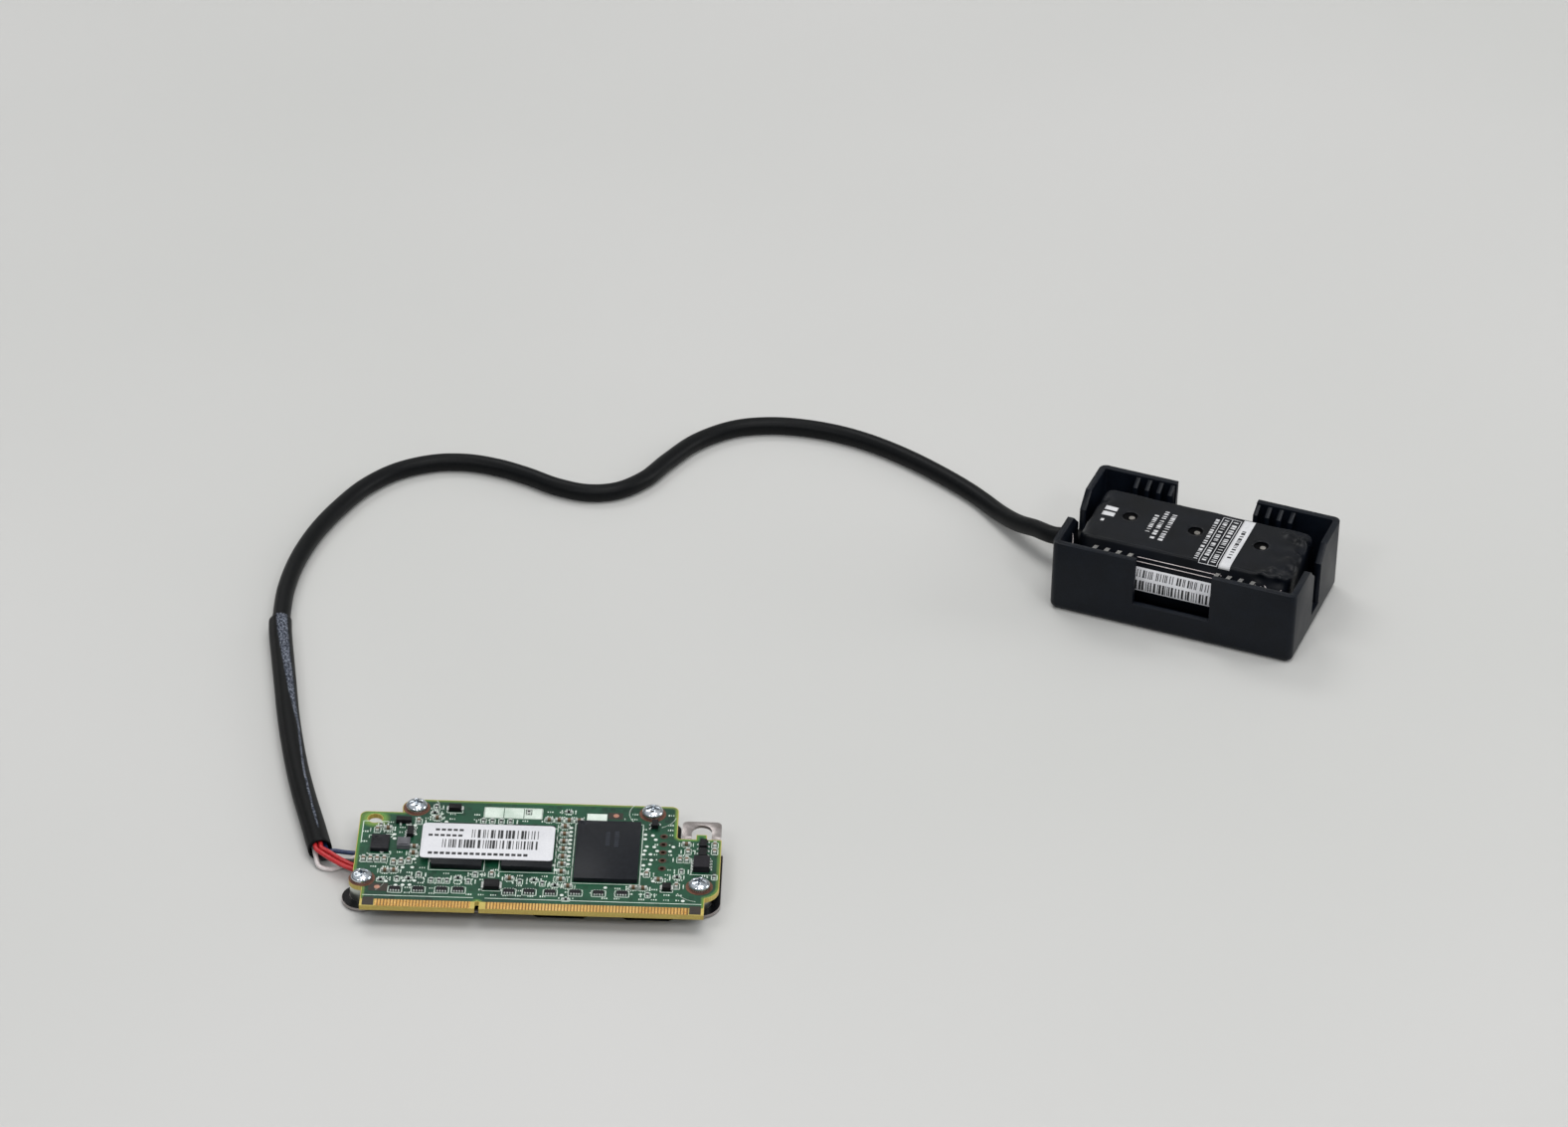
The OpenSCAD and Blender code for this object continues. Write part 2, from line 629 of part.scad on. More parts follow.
module base_film() {
    color("#101013") on_board() linear_extrude(base_film_t) {
        plate_outline(film_inset);
        for (x = [[0.5, 0.66] * tongue_w, [0.76, 0.91] * tongue_w]) polygon([[x[0], plate_setback - 0.1],
            [x[0] + 0.9, plate_setback - 0.7], [x[1] - 0.9, plate_setback - 0.7],
            [x[1], plate_setback - 0.1], [x[1], plate_setback + 1], [x[0], plate_setback + 1]]);
    }
}

// The lead's socket under the board, and the plug in it
socket_w = 7.6;
socket_l = 4;
plug_l = 3.2;
module lead_socket() {
    h = board_z - film_top - socket_gap;
    color("#d8d2c2") on_board() translate([plug_at[0] + plug_l, plug_at[1] - socket_w / 2, board_z - h])
        difference() {
            translate([-1.4, 0, 0]) cube([socket_l, socket_w, h]);
            translate([-cut - 1.4, 0.45, 0.35]) cube([cut + 1.4, socket_w - 0.9, h - 0.7]);
        }
}
module lead_plug() {
    h = board_z - film_top - socket_gap - 0.8;
    color("#ece8dc") on_board() translate([plug_at[0], plug_at[1] - socket_w / 2 + 0.55, wire_z - h / 2])
        cube([plug_l - 0.05, socket_w - 1.1, h]);
}
module wire_red_a() {
    color("#c0282b") tube(red_a_route, wire_d);
}
module wire_red_b() {
    color("#b32428") tube(red_b_route, wire_d);
}
module wire_white() {
    color("#e8dcdc") tube(white_route, wire_d);
}
module wire_navy() {
    color("#1c2a4a") tube(navy_route, wire_d);
}
module wire_black() {
    color("#1a1a1a") tube(black_route, wire_d);
}
module cable_sleeve() {
    color("#202124") tube(sleeve_route, cable_sleeve_d);
}
module cable() {
    color("#2a2a2a") tube(cable_route, cable_d);
}

// Holder tray
module in_tray() {
    translate([tray_at[0], tray_at[1], 0]) rotate([0, 0, tray_yaw]) children();
}
module rounded_base(l, w, h, r) {
    x = l / 2 - r;
    y = w / 2 - r;
    translate([0, 0, r]) linear_extrude(h - r) rounded_xy(-l / 2, -w / 2, l / 2, w / 2, r);
    for (sx = [-x, x]) for (sy = [-y, y]) translate([sx, sy, r]) sphere(r, $fn = 32);
    for (sy = [-y, y]) translate([-x, sy, r]) rotate([0, 90, 0]) cylinder(h = 2 * x, r = r, $fn = 32);
    for (sx = [-x, x]) translate([sx, -y, r]) rotate([-90, 0, 0]) cylinder(h = 2 * y, r = r, $fn = 32);
    translate([-x, -y, 0]) cube([2 * x, 2 * y, 2 * r]);
}
module end_slot() {
    shoulder = tray_h - mouth_h;
    rotate([90, 0, 90]) linear_extrude(2 * tray_wall + cut, center = true) union() {
        box_xy(-slot_w / 2, slot_z, slot_w / 2, tray_h + cut);
        polygon([[-slot_w / 2, shoulder], [slot_w / 2, shoulder], [mouth_w / 2, tray_h],
            [mouth_w / 2, tray_h + cut], [-mouth_w / 2, tray_h + cut], [-mouth_w / 2, tray_h]]);
    }
}
module rib() {
    top = tray_h - 0.4;
    translate([-rib_w / 2, 0, 0]) rotate([90, 0, 90]) linear_extrude(rib_w) polygon([
        [-inner_w / 2 - eps, tray_floor - eps], [-inner_w / 2 + rib_l, tray_floor - eps],
        [-inner_w / 2 + rib_l, top - rib_fall], [-inner_w / 2, top], [-inner_w / 2 - eps, top]]);
}
module holder_tray() {
    first_rib = window_w / 2 + rib_w / 2;
    color("#1b1f27") in_tray() {
        difference() {
            rounded_base(tray_l, tray_w, tray_h, tray_r);
            translate([0, 0, tray_floor]) linear_extrude(tray_h)
                rounded_xy(-inner_l / 2, -inner_w / 2, inner_l / 2, inner_w / 2, 0.5);
            translate([-window_w / 2, -tray_w / 2 - cut, sill_front]) cube([window_w, tray_wall + 2 * cut, tray_h]);
            translate([-window_w / 2 - back_window_more, inner_w / 2 - cut, sill_back])
                cube([window_w + back_window_more, tray_wall + 2 * cut, tray_h]);
            for (s = [-1, 1]) translate([s * (tray_l - tray_wall) / 2, 0, 0]) end_slot();
        }
        for (flip = [0, 1]) mirror([0, flip, 0]) for (k = [0:rib_count - 1]) {
            translate([first_rib + k * rib_pitch, 0, 0]) rib();
            translate([-first_rib - rib_margin - k * rib_pitch, 0, 0]) rib();
        }
    }
}

// Capacitor pack: its cross-section is wrapped round two rows of cells and the board on top
module in_pack() {
    in_tray() translate([0, 0, tray_floor]) children();
}
wrap_corner_r = 0.8;
pack_holes = [-0.6, 0.8, 0];
function arc(c, r, a0, a1, n) = [for (k = [0:n]) let (a = a0 + (a1 - a0) * k / n)
    [c[0] + r * cos(a), c[1] + r * sin(a)]];
function half_wrap(t) =
    let (c1 = [cell_pitch / 2, cell_z], r1 = cell_r + wrap - t,
         c2 = [cell_board_w / 2 - 0.3, pack_top - wrap_corner_r], r2 = wrap_corner_r - t,
         d = c2 - c1, lean = atan2(d[1], d[0]) - acos((r1 - r2) / norm(d)))
    concat(arc(c1, r1, -90, lean, 14), arc(c2, r2, lean, 90, 4));
function wrap_outline(t) =
    let (half = half_wrap(t))
    concat(half, [for (k = [len(half) - 1:-1:0]) [-half[k][0], half[k][1]]]);
// Each station along the pack: its place, its size and the depth of its creases
function wrap_ring(x, size, crease, t) =
    let (mid = [0, pack_top / 2])
    [for (p = wrap_outline(t)) let (q = p - mid, a = atan2(q[1], q[0]),
        s = size * (1 - crease * (0.5 + 0.5 * sin(7 * a + 40)) - 0.4 * crease * (0.5 + 0.5 * sin(13 * a))))
        [x, mid[0] + q[0] * s, mid[1] + q[1] * s]];
function wrap_stations(t) =
    let (e = pack_end - t, c = cells_l / 2 + 0.1)
    [[-e, 0.86, 0.01], [-e + 0.25, 0.93, 0.01], [-e + 0.8, 0.985, 0], [-c, 1, 0], [-c / 2, 1, 0],
     [c / 2, 1, 0], [c, 1, 0], [e - 0.9, 0.97, 0.03], [e - 0.4, 0.92, 0.06], [e, 0.82, 0.08]];
module wrap_solid(t) {
    skin([for (s = wrap_stations(t)) wrap_ring(s[0], s[1], s[2], t)]);
}
module pack_sleeve() {
    color("#2a2d35") in_pack() difference() {
        wrap_solid(0);
        wrap_solid(sleeve_t);
        for (k = [-1:1]) translate(pack_holes + [k * pack_hole_pitch, 0, pack_top - sleeve_t - wrap_gap])
            cylinder(h = cut, r = pack_hole_r);
    }
}
module cell() {
    groove = 2.4;
    rotate([0, 90, 0]) rotate_extrude() polygon([[0, 0], [cell_r - 0.4, 0], [cell_r, 0.4],
        [cell_r, cell_l - groove - 0.6], [cell_r - 0.5, cell_l - groove],
        [cell_r, cell_l - groove + 0.6], [cell_r, cell_l - 0.3], [cell_r - 0.3, cell_l], [0, cell_l]]);
}
module capacitor_cells() {
    color("#3a3f4a") in_pack() for (s = [0, 180]) rotate([0, 0, s])
        for (y = [-1, 1]) translate([cell_gap / 2, y * cell_pitch / 2, cell_z]) cell();
}
module cell_board() {
    l = cells_l - 2;
    color("#23513c") in_pack() translate([-l / 2, -cell_board_w / 2, cell_board_z])
        cube([l, cell_board_w, cell_board_t]);
}
module cell_pads() {
    color("#cfd2d0") in_pack() for (k = [-1:1])
        translate(pack_holes + [k * pack_hole_pitch + 0.5, -0.3, cell_board_z + cell_board_t])
            cylinder(h = 0.2, r = 0.6);
}
// The label follows the sleeve's side, and shows between its lower and upper edges in the front window
module pack_label() {
    low = 5.4;
    high = 10.1;
    hidden_left = 2.2;
    hidden_right = 0.6;
    color("#e6e6ea") in_pack() translate([-window_w / 2 - hidden_left, 0, 0]) rotate([90, 0, 90])
        linear_extrude(window_w + hidden_left + hidden_right) intersection() {
            difference() {
                polygon(wrap_outline(-label_t));
                polygon(wrap_outline(0));
            }
            box_xy(-pack_half_w - cut, low, 0, high);
        }
}

circuit_board();
edge_contacts();
screw_lands();
flash_chip();
memory_chips();
board_label();
power_controller();
transistors();
power_inductor();
diodes();
logic_chip();
resistor_arrays();
ceramic_capacitors();
chip_resistors();
lower_memory_chips();
board_screws();
standoffs();
base_plate();
plate_film();
base_film();
lead_socket();
lead_plug();
wire_red_a();
wire_red_b();
wire_white();
wire_navy();
wire_black();
cable_sleeve();
cable();
holder_tray();
pack_sleeve();
capacitor_cells();
cell_board();
cell_pads();
pack_label();
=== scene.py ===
"""Looks of the cache memory module, its lead and the capacitor pack in its tray.

Everything is in metres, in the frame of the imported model: X runs along the edge connector and
Z up from the surface that the parts lie on. Sizes with MM are in millimetres.
"""

import math

import bpy
import numpy as np
from mathutils import Matrix, Vector


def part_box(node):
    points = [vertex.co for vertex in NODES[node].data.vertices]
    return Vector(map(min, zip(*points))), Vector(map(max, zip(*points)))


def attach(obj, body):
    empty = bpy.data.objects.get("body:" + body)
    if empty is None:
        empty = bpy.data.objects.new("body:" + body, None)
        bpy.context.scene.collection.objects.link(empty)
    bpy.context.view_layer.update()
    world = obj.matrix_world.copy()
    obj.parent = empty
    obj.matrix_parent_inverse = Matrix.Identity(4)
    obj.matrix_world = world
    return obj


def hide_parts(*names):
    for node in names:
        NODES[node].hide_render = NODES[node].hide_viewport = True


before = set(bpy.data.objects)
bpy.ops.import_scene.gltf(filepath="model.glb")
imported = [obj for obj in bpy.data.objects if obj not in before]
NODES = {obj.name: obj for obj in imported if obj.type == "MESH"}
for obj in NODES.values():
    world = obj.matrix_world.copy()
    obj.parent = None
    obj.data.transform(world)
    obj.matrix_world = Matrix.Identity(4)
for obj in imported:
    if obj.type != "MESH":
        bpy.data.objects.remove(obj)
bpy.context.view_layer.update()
MM = 0.001
TOUCH = 1e-6   # metres: nearer than this is the same place
rng = np.random.default_rng(7)


# ---------------------------------------------------------------- camera

SENSOR, FOCAL = 36, 136.97   # millimetres
EYE = (0.05473, -0.89719, 0.68075)
PAN, DOWN, ROLL = 0.609, 34.19, 1.345   # degrees: to the left, below the horizon, round the view


def turned(axis, degrees):
    """A turn about one axis."""
    return Matrix.Rotation(math.radians(degrees), 4, axis)


def make_camera():
    """A long lens above the front, turned so that the connector edge falls slightly to the right."""
    data = bpy.data.cameras.new("camera")
    data.sensor_width, data.lens = SENSOR, FOCAL
    data.clip_start, data.clip_end = 0.05, 20
    camera = bpy.data.objects.new("camera", data)
    place = Matrix.Translation(EYE)
    camera.matrix_world = place @ turned("Z", PAN) @ turned("X", 90 - DOWN) @ turned("Z", ROLL)
    bpy.context.scene.collection.objects.link(camera)
    bpy.context.scene.camera = camera


# ---------------------------------------------------------------- nodes and colours

NOISE_ROUGH = 0.55   # how much of a noise lies in its finer lumps
BLACK, WHITE = "#000000", "#ffffff"   # the ends of a share, not colours of anything


def lin(code):
    """A colour written as sRGB hex, as linear red, green, blue and alpha."""
    c = np.array([int(code[k:k + 2], 16) for k in (1, 3, 5)]) / 255
    c = np.where(c > 0.04045, ((c + 0.055) / 1.055) ** 2.4, c / 12.92)
    return (*c.tolist(), 1.0)


def add(tree, kind, sockets=(), out=0, stops=(), **settings):
    """Adds a node and gives back one of its outputs.

    The settings are the node's properties, its sockets take values or links, and a colour ramp
    also takes stops of place and hex colour.
    """
    made = tree.nodes.new("ShaderNode" + kind)
    for key, value in settings.items():
        setattr(made, key, value)
    for key, value in dict(sockets).items():
        if isinstance(value, bpy.types.NodeSocket):
            tree.links.new(value, made.inputs[key])
        else:
            made.inputs[key].default_value = value
    if stops:
        marks = made.color_ramp.elements
        while len(marks) < len(stops):
            marks.new(0.5)
        for mark, (place, code) in zip(marks, stops):
            mark.position, mark.color = place, lin(code)
    return made.outputs[out] if made.outputs else None


def new_material(name):
    """An empty material, its node tree, and the place on the object, which patterns read."""
    made = bpy.data.materials.new(name)
    made.use_nodes = True
    tree = made.node_tree
    tree.nodes.clear()
    return made, tree, add(tree, "TexCoord", out="Object")


def grain(place, size, detail=3):
    """Settings of a noise over a place, with lumps of about that size in millimetres."""
    return {"Vector": place, "Scale": 1 / (size * MM), "Detail": detail,
            "Roughness": NOISE_ROUGH}


# ---------------------------------------------------------------- floor and light

def floor_material():
    """Matt painted board: even and pale, with faint wide clouds and a fine dusty tooth."""
    made, tree, place = new_material("matt painted table top")
    clouds = add(tree, "TexNoise", grain(place, 260, 2))
    tooth = add(tree, "TexNoise", grain(place, 1.2, 2))
    tone = add(tree, "ValToRGB", {"Fac": clouds}, stops=((0.3, "#c5c5c2"), (0.7, "#cccbc9")))
    rise = add(tree, "Bump", {"Height": tooth, "Distance": 0.02 * MM, "Strength": 0.3})
    skin = add(tree, "BsdfPrincipled", {"Base Color": tone, "Roughness": 0.62, "Normal": rise,
                                        "Specular IOR Level": 0.3})
    add(tree, "OutputMaterial", {"Surface": skin})
    return made


def make_stage():
    """A pale table top whose profile is flat to the far edge, then a quarter circle, then an
    upright wall far behind."""
    near, far, bend, rise, half_wide = -2.2, 1.05, 0.25, 1.4, 2.5
    angle = np.linspace(0, math.pi / 2, 13)
    y = np.concatenate([[near], far + bend * np.sin(angle), [far + bend]])
    z = np.concatenate([[0], bend * (1 - np.cos(angle)), [rise]])
    x = np.array([-half_wide, half_wide])
    grid = np.stack(np.broadcast_arrays(x, y[:, None], z[:, None]), -1)
    floor = surface("floor", [grid])
    floor.data.materials.append(floor_material())


def area_light(name, at, target, size, power):
    """A round lamp of that width and power in watts, turned towards the target."""
    data = bpy.data.lights.new(name, "AREA")
    data.shape, data.size, data.energy = "DISK", size, power
    light = bpy.data.objects.new(name, data)
    back = (Vector(at) - Vector(target)).normalized()
    light.matrix_world = Matrix.Translation(at) @ back.to_track_quat("Z", "Y").to_matrix().to_4x4()
    bpy.context.scene.collection.objects.link(light)


def make_lights():
    """A room that is bright overhead and dim at eye level, a window behind and soft lamps."""
    scene = bpy.context.scene
    scene.view_settings.view_transform = "Standard"
    world = bpy.data.worlds.new("room")
    world.use_nodes = True
    tree = world.node_tree
    tree.nodes.clear()
    way = add(tree, "TexCoord", out="Generated")
    up = add(tree, "SeparateXYZ", {"Vector": way}, out="Z")
    tone = add(tree, "ValToRGB", {"Fac": up},
               stops=((0.0, "#6a6d70"), (0.25, "#85888b"), (0.6, "#e6eaee"), (1.0, "#ffffff")))
    sky = add(tree, "Background", {"Color": tone, "Strength": 0.62})
    add(tree, "OutputWorld", {"Surface": sky})
    scene.world = world
    middle = (0.05, 0.06, 0)
    area_light("window", (-0.55, 1.25, 1.5), middle, 1.0, 10)
    area_light("ceiling lamp", (0.3, -0.1, 1.7), middle, 1.0, 9)
    area_light("right wall", (1.5, 0.25, 0.55), (0.13, 0.09, 0), 0.8, 5)
    for side in (-1, 0, 1):
        at = (0.05 + 0.75 * side, -1.2 + 0.2 * abs(side), 1.25)
        area_light("front lamp", at, middle, 0.3, 2.5)


# ---------------------------------------------------------------- surfaces

def around(count):
    """Angles once round a circle."""
    return np.linspace(0, 2 * math.pi, count, endpoint=False)


def on_circle(angle):
    """Points of the unit circle at those angles."""
    return np.stack([np.cos(angle), np.sin(angle)], -1)


def quads_of(index):
    """Faces between the neighbouring points of a grid of point numbers."""
    return np.stack([index[:-1, :-1], index[:-1, 1:], index[1:, 1:], index[1:, :-1]], -1)


def surface(name, grids, closed=False, ends=False, ring=False, smooth=True):
    """One mesh from grids of points, each of rows along u and columns along v.

    Neighbouring points make a face. closed joins the last column to the first, ring the last
    row to the first, and ends closes the first and last rows with one face each.
    """
    points, quads, caps, base = [], [], [], 0
    for grid in grids:
        rows, columns = grid.shape[:2]
        index = base + np.arange(rows * columns).reshape(rows, columns)
        if closed:
            index = np.concatenate([index, index[:, :1]], 1)
        if ring:
            index = np.concatenate([index, index[:1]])
        quads.append(quads_of(index).reshape(-1, 4))
        if ends:
            caps += [index[0, :columns][::-1].tolist(), index[-1, :columns].tolist()]
        points.append(grid.reshape(-1, 3))
        base += rows * columns
    return piece(name, np.concatenate(points), np.concatenate(quads).tolist() + caps, smooth)


def piece(name, points, faces, smooth=False):
    """An object at the origin with that mesh."""
    mesh = bpy.data.meshes.new(name)
    mesh.from_pydata(np.asarray(points, float).tolist(), [], faces)
    mesh.polygons.foreach_set("use_smooth", np.full(len(mesh.polygons), smooth))
    mesh.update()
    made = bpy.data.objects.new(name, mesh)
    bpy.context.scene.collection.objects.link(made)
    return made


def thicken(made, thick, offset=-1):
    """Gives an open surface a thickness in millimetres, inwards where the offset is -1."""
    body = made.modifiers.new("thickness", "SOLIDIFY")
    body.thickness, body.offset = thick * MM, offset


def hold(made, name, values):
    """Keeps one number for each point of a piece, for its material to read."""
    held = made.data.attributes.new(name, "FLOAT", "POINT")
    held.data.foreach_set("value", values.ravel().astype(np.float32))


def settle(made, material, replaced=()):
    """Gives a finished piece its material, slot, body and the solids it stands for."""
    made.data.materials.append(material)
    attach(made, "root")
    if replaced:
        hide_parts(*replaced)
    return made


def smooth_route(points, step=0.6 * MM):
    """Points a step apart on the centripetal spline through the given points.

    Between p1 and p2 it blends the two parabolas through p0 p1 p2 and p1 p2 p3, in knots
    spaced by the square root of the distance.
    """
    p = np.asarray(points, float)
    p = np.concatenate([2 * p[:1] - p[1:2], p, 2 * p[-1:] - p[-2:-1]])
    knot = np.concatenate([[0], np.cumsum(np.sqrt(np.linalg.norm(np.diff(p, axis=0), axis=1)))])
    parts = []
    for k in range(1, len(p) - 2):
        t = np.linspace(knot[k], knot[k + 1], 24, endpoint=False)[:, None]
        t0, t1, t2, t3 = knot[k - 1:k + 3]
        p0, p1, p2, p3 = p[k - 1:k + 3]
        a1 = ((t1 - t) * p0 + (t - t0) * p1) / (t1 - t0)
        a2 = ((t2 - t) * p1 + (t - t1) * p2) / (t2 - t1)
        a3 = ((t3 - t) * p2 + (t - t2) * p3) / (t3 - t2)
        b1 = ((t2 - t) * a1 + (t - t0) * a2) / (t2 - t0)
        b2 = ((t3 - t) * a2 + (t - t1) * a3) / (t3 - t1)
        parts.append(((t2 - t) * b1 + (t - t1) * b2) / (t2 - t1))
    dense = np.concatenate(parts + [p[-2:-1]])
    run = np.concatenate([[0], np.cumsum(np.linalg.norm(np.diff(dense, axis=0), axis=1))])
    even = np.linspace(0, run[-1], max(8, int(run[-1] / step)))
    return np.stack([np.interp(even, run, dense[:, k]) for k in range(3)], -1)


def tube_grid(route, radius, sides):
    """Rings round a route, whose radius may change along it, from a level side and an up."""
    ahead = np.gradient(route, axis=0)
    ahead /= np.linalg.norm(ahead, axis=1)[:, None]
    side = np.stack([ahead[:, 1], -ahead[:, 0], np.zeros(len(route))], -1)
    side /= np.linalg.norm(side, axis=1)[:, None]
    up = np.cross(side, ahead)
    a = around(sides)
    r = np.broadcast_to(radius, len(route))[:, None, None]
    return route[:, None] + r * (np.cos(a)[None, :, None] * side[:, None]
                                 + np.sin(a)[None, :, None] * up[:, None])


# ---------------------------------------------------------------- places on the board and in the tray

board_low, board_high = (np.array(c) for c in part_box("circuit_board"))
BOARD_LEFT_MM = 2.6   # the tongue starts this far inside the board's left edge
BOARD_TOP = board_high[2]


def on_board(x, y, z=0.0):
    """A point in millimetres from the tongue's front left corner, above the board."""
    return np.stack(np.broadcast_arrays(board_low[0] + (BOARD_LEFT_MM + np.asarray(x)) * MM,
                                        board_low[1] + np.asarray(y) * MM,
                                        BOARD_TOP + np.asarray(z) * MM), -1)


TRAY_YAW = math.radians(-20)
tray_low, tray_high = (np.array(c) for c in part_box("holder_tray"))
tray_middle = (tray_low + tray_high) / 2


def in_tray(x, y, z=0.0):
    """A point in millimetres from the middle of the tray's underside, along its sides."""
    c, s = math.cos(TRAY_YAW), math.sin(TRAY_YAW)
    x, y = np.asarray(x) * MM, np.asarray(y) * MM
    return np.stack(np.broadcast_arrays(tray_middle[0] + c * x - s * y,
                                        tray_middle[1] + s * x + c * y,
                                        np.asarray(z) * MM), -1)


# ---------------------------------------------------------------- the lead

def lead_material(name, dark, light, size, roughness, specular=0.45):
    """Extruded vinyl: even colour, a fine drag along the length, and a soft sheen."""
    made, tree, place = new_material(name)
    drag = add(tree, "TexNoise", grain(place, size))
    wide = add(tree, "TexNoise", grain(place, 6, 2))
    tone = add(tree, "ValToRGB", {"Fac": drag}, stops=((0.3, dark), (0.75, light)))
    gloss = add(tree, "MapRange", {"Value": wide, "To Min": roughness - 0.05,
                                   "To Max": roughness + 0.07})
    rise = add(tree, "Bump", {"Height": drag, "Distance": 0.03 * MM, "Strength": 0.35})
    skin = add(tree, "BsdfPrincipled", {"Base Color": tone, "Roughness": gloss, "Normal": rise,
                                        "Specular IOR Level": specular})
    add(tree, "OutputMaterial", {"Surface": skin})
    return made


CABLE_R, SLEEVE_R, WIRE_R, WIRE_PITCH = 1.8 * MM, 2.3 * MM, 0.45 * MM, 1.25 * MM
cable_points = np.concatenate([
    in_tray([-22.05, -26.05, -30.05], 0, [7.5, 7.5, 6.9]),
    MM * np.array([(95, 112, 5.6), (91.5, 116.5, 3.8), (88, 122, 2.4)]),
    MM * np.array([(x, y, 1.8) for x, y in (
        (84, 128), (77, 135.5), (67, 144), (58, 149.5), (49.5, 152.5), (41, 153.5), (33, 152),
        (25, 146.5), (19, 138.5), (14.5, 131.5), (9, 127), (3, 126), (-3.5, 128), (-9.5, 131.5),
        (-16, 134.5), (-22.5, 136), (-29, 135.5), (-36.5, 132), (-42.5, 126), (-47, 118.5),
        (-51, 109.5), (-54, 99), (-55.5, 88), (-55.5, 75.5))])])
sleeve_points = MM * np.array([(x, y, 2.3) for x, y in (
    (-55.5, 75.5), (-55.1, 71.5), (-54, 64), (-52.5, 54), (-51, 44), (-49.2, 34), (-47.2, 24.5),
    (-45.2, 16.5), (-43, 8.5), (-41, 1))])


def wire_points(side, up, middle, place):
    """From the sleeve's open end, under the board's left edge, to the wire's place in the plug."""
    out = sleeve_points[-1] - sleeve_points[-2]
    out /= np.linalg.norm(out)
    across = np.array([out[1], -out[0], 0])
    starts = [sleeve_points[-1] + MM * (side * across + run * out + np.array([0, 0, up]))
              for run in (-2.6, 0, 1.2)]
    low, high = (np.array(c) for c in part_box("lead_plug"))
    plug = np.array([low[0], *(low + high)[1:] / 2]) + [0, place * WIRE_PITCH, 0]
    ends = [plug - [run * MM, 0, 0] for run in (1.4, 0)]
    inner = [on_board(x, y, 0) * [1, 1, 0] + [0, 0, z * MM] for x, y, z in middle]
    return np.array([*starts, *inner, *ends])


# Each wire's slot, its way out of the sleeve and into the plug, and its two tones
WIRES = {
    "wire_red_a": ("wire_red", (0.9, 1.1, [(-8.4, 17.6, 3.2), (-5.4, 15.2, 3)], -2),
                   "#a81d22", "#cc3236"),
    "wire_red_b": ("wire_red", (-0.1, 1.25, [(-7.4, 18.2, 3.3), (-4.8, 16.1, 3.1)], -1),
                   "#a01c20", "#c42c30"),
    "wire_black": ("wire_black", (0, -1.2, [(-7.2, 18.3, 1.6), (-5.2, 17.3, 1.9)], 0),
                   "#101012", "#242427"),
    "wire_white": ("wire_white", (1, -0.7, [(-9, 17, 0.7), (-6.8, 16.3, 0.5), (-5, 17, 0.6),
                                            (-3.6, 17.6, 1.3)], 1), "#d5cccb", "#efe8e6"),
    "wire_navy": ("wire_navy", (-1.1, 0.2, [(-6.4, 19.4, 2.5), (-4.4, 19.1, 2.5)], 2),
                  "#16233f", "#2a3d66"),
}


def sleeve_material():
    """Heat-shrunk polyolefin: black and satin, with a scuffed strip painted a speckled blue-grey,
    which is also a painted highlight.

    The speckle is drawn coarser than the real one, so that it shows.
    """
    made, tree, place = new_material("heat-shrunk polyolefin sleeve")
    fine = add(tree, "TexNoise", grain(place, 0.5, 4))
    grit = add(tree, "TexNoise", grain(place, 0.38, 2))
    wide = add(tree, "TexNoise", grain(place, 6, 2))
    rubbed_highlight = add(tree, "Attribute", attribute_name="rubbed_highlight", out="Fac")
    share = add(tree, "ValToRGB", {"Fac": rubbed_highlight}, stops=((0.02, BLACK), (0.22, WHITE)))
    black = add(tree, "ValToRGB", {"Fac": fine}, stops=((0.3, "#050606"), (0.75, "#0d0e10")))
    # the scuffed strip's pale speckle, which also stands for a painted highlight
    rubbed_highlight_tone = add(tree, "ValToRGB", {"Fac": grit},
                stops=((0.38, "#13161e"), (0.5, "#3b414f"), (0.62, "#858a95")))
    tone = add(tree, "Mix", {0: share, 6: black, 7: rubbed_highlight_tone}, data_type="RGBA", out=2)
    gloss = add(tree, "MapRange", {"Value": wide, "To Min": 0.42, "To Max": 0.55})
    rise = add(tree, "Bump", {"Height": fine, "Distance": 0.04 * MM, "Strength": 0.4})
    skin = add(tree, "BsdfPrincipled", {"Base Color": tone, "Roughness": gloss, "Normal": rise,
                                        "Specular IOR Level": 0.15})
    add(tree, "OutputMaterial", {"Surface": skin})
    return made


def lie_down(route, radius):
    """Lifts the points of a route that would sink below the surface."""
    route[:, 2] = np.maximum(route[:, 2], radius)
    return route


def make_sleeve(route):
    """The sleeve: its outside, the cut edge at its open end, and its inside for a few rings.

    Its radius is drawn in by 5% halfway, and two flats run along it, each a bell exp(-a^2) over
    the angle that takes a share of the radius.
    """
    run = np.linspace(0, 1, len(route))
    radius = SLEEVE_R * (1 - 0.05 * np.sin(run * math.pi) ** 2)
    route[:, 2] = radius.max()
    sides, back = 72, 6
    angle = around(sides)
    flats = (0.05 * np.exp(-((angle - 0.7) / 0.25) ** 2)
             + 0.04 * np.exp(-((angle - 2.3) / 0.3) ** 2))
    middle = route[:, None]
    outer = middle + (tube_grid(route, radius, sides) - middle) * (1 - flats)[None, :, None]
    inner = [route[-1 - k] + (outer[-1 - k] - route[-1 - k]) * (0.84 if k else 0.86)
             for k in range(back)]
    made = surface("shrink_sleeve", [np.concatenate([outer, np.stack(inner)])],
                   closed=True, ends=True)
    # a scuffed strip that is also a painted highlight: it starts wide at the cable's end
    # and runs out into a thin line
    centre = np.interp(run, [0, 0.2, 0.35, 0.5, 0.7, 0.95], [1.75, 1.9, 2.09, 2.4, 2.0, 1.7])
    half = np.interp(run, [0, 0.1, 0.35, 0.5, 0.9, 1], [0.58, 0.55, 0.36, 0.12, 0.08, 0])
    away = np.abs(angle[None] - centre[:, None]) / np.maximum(half, 0.01)[:, None]
    hold(made, "rubbed_highlight", np.concatenate([np.clip(1 - away, 0, 1), np.zeros((back, sides))]))
    return settle(made, sleeve_material(), ["cable_sleeve"])


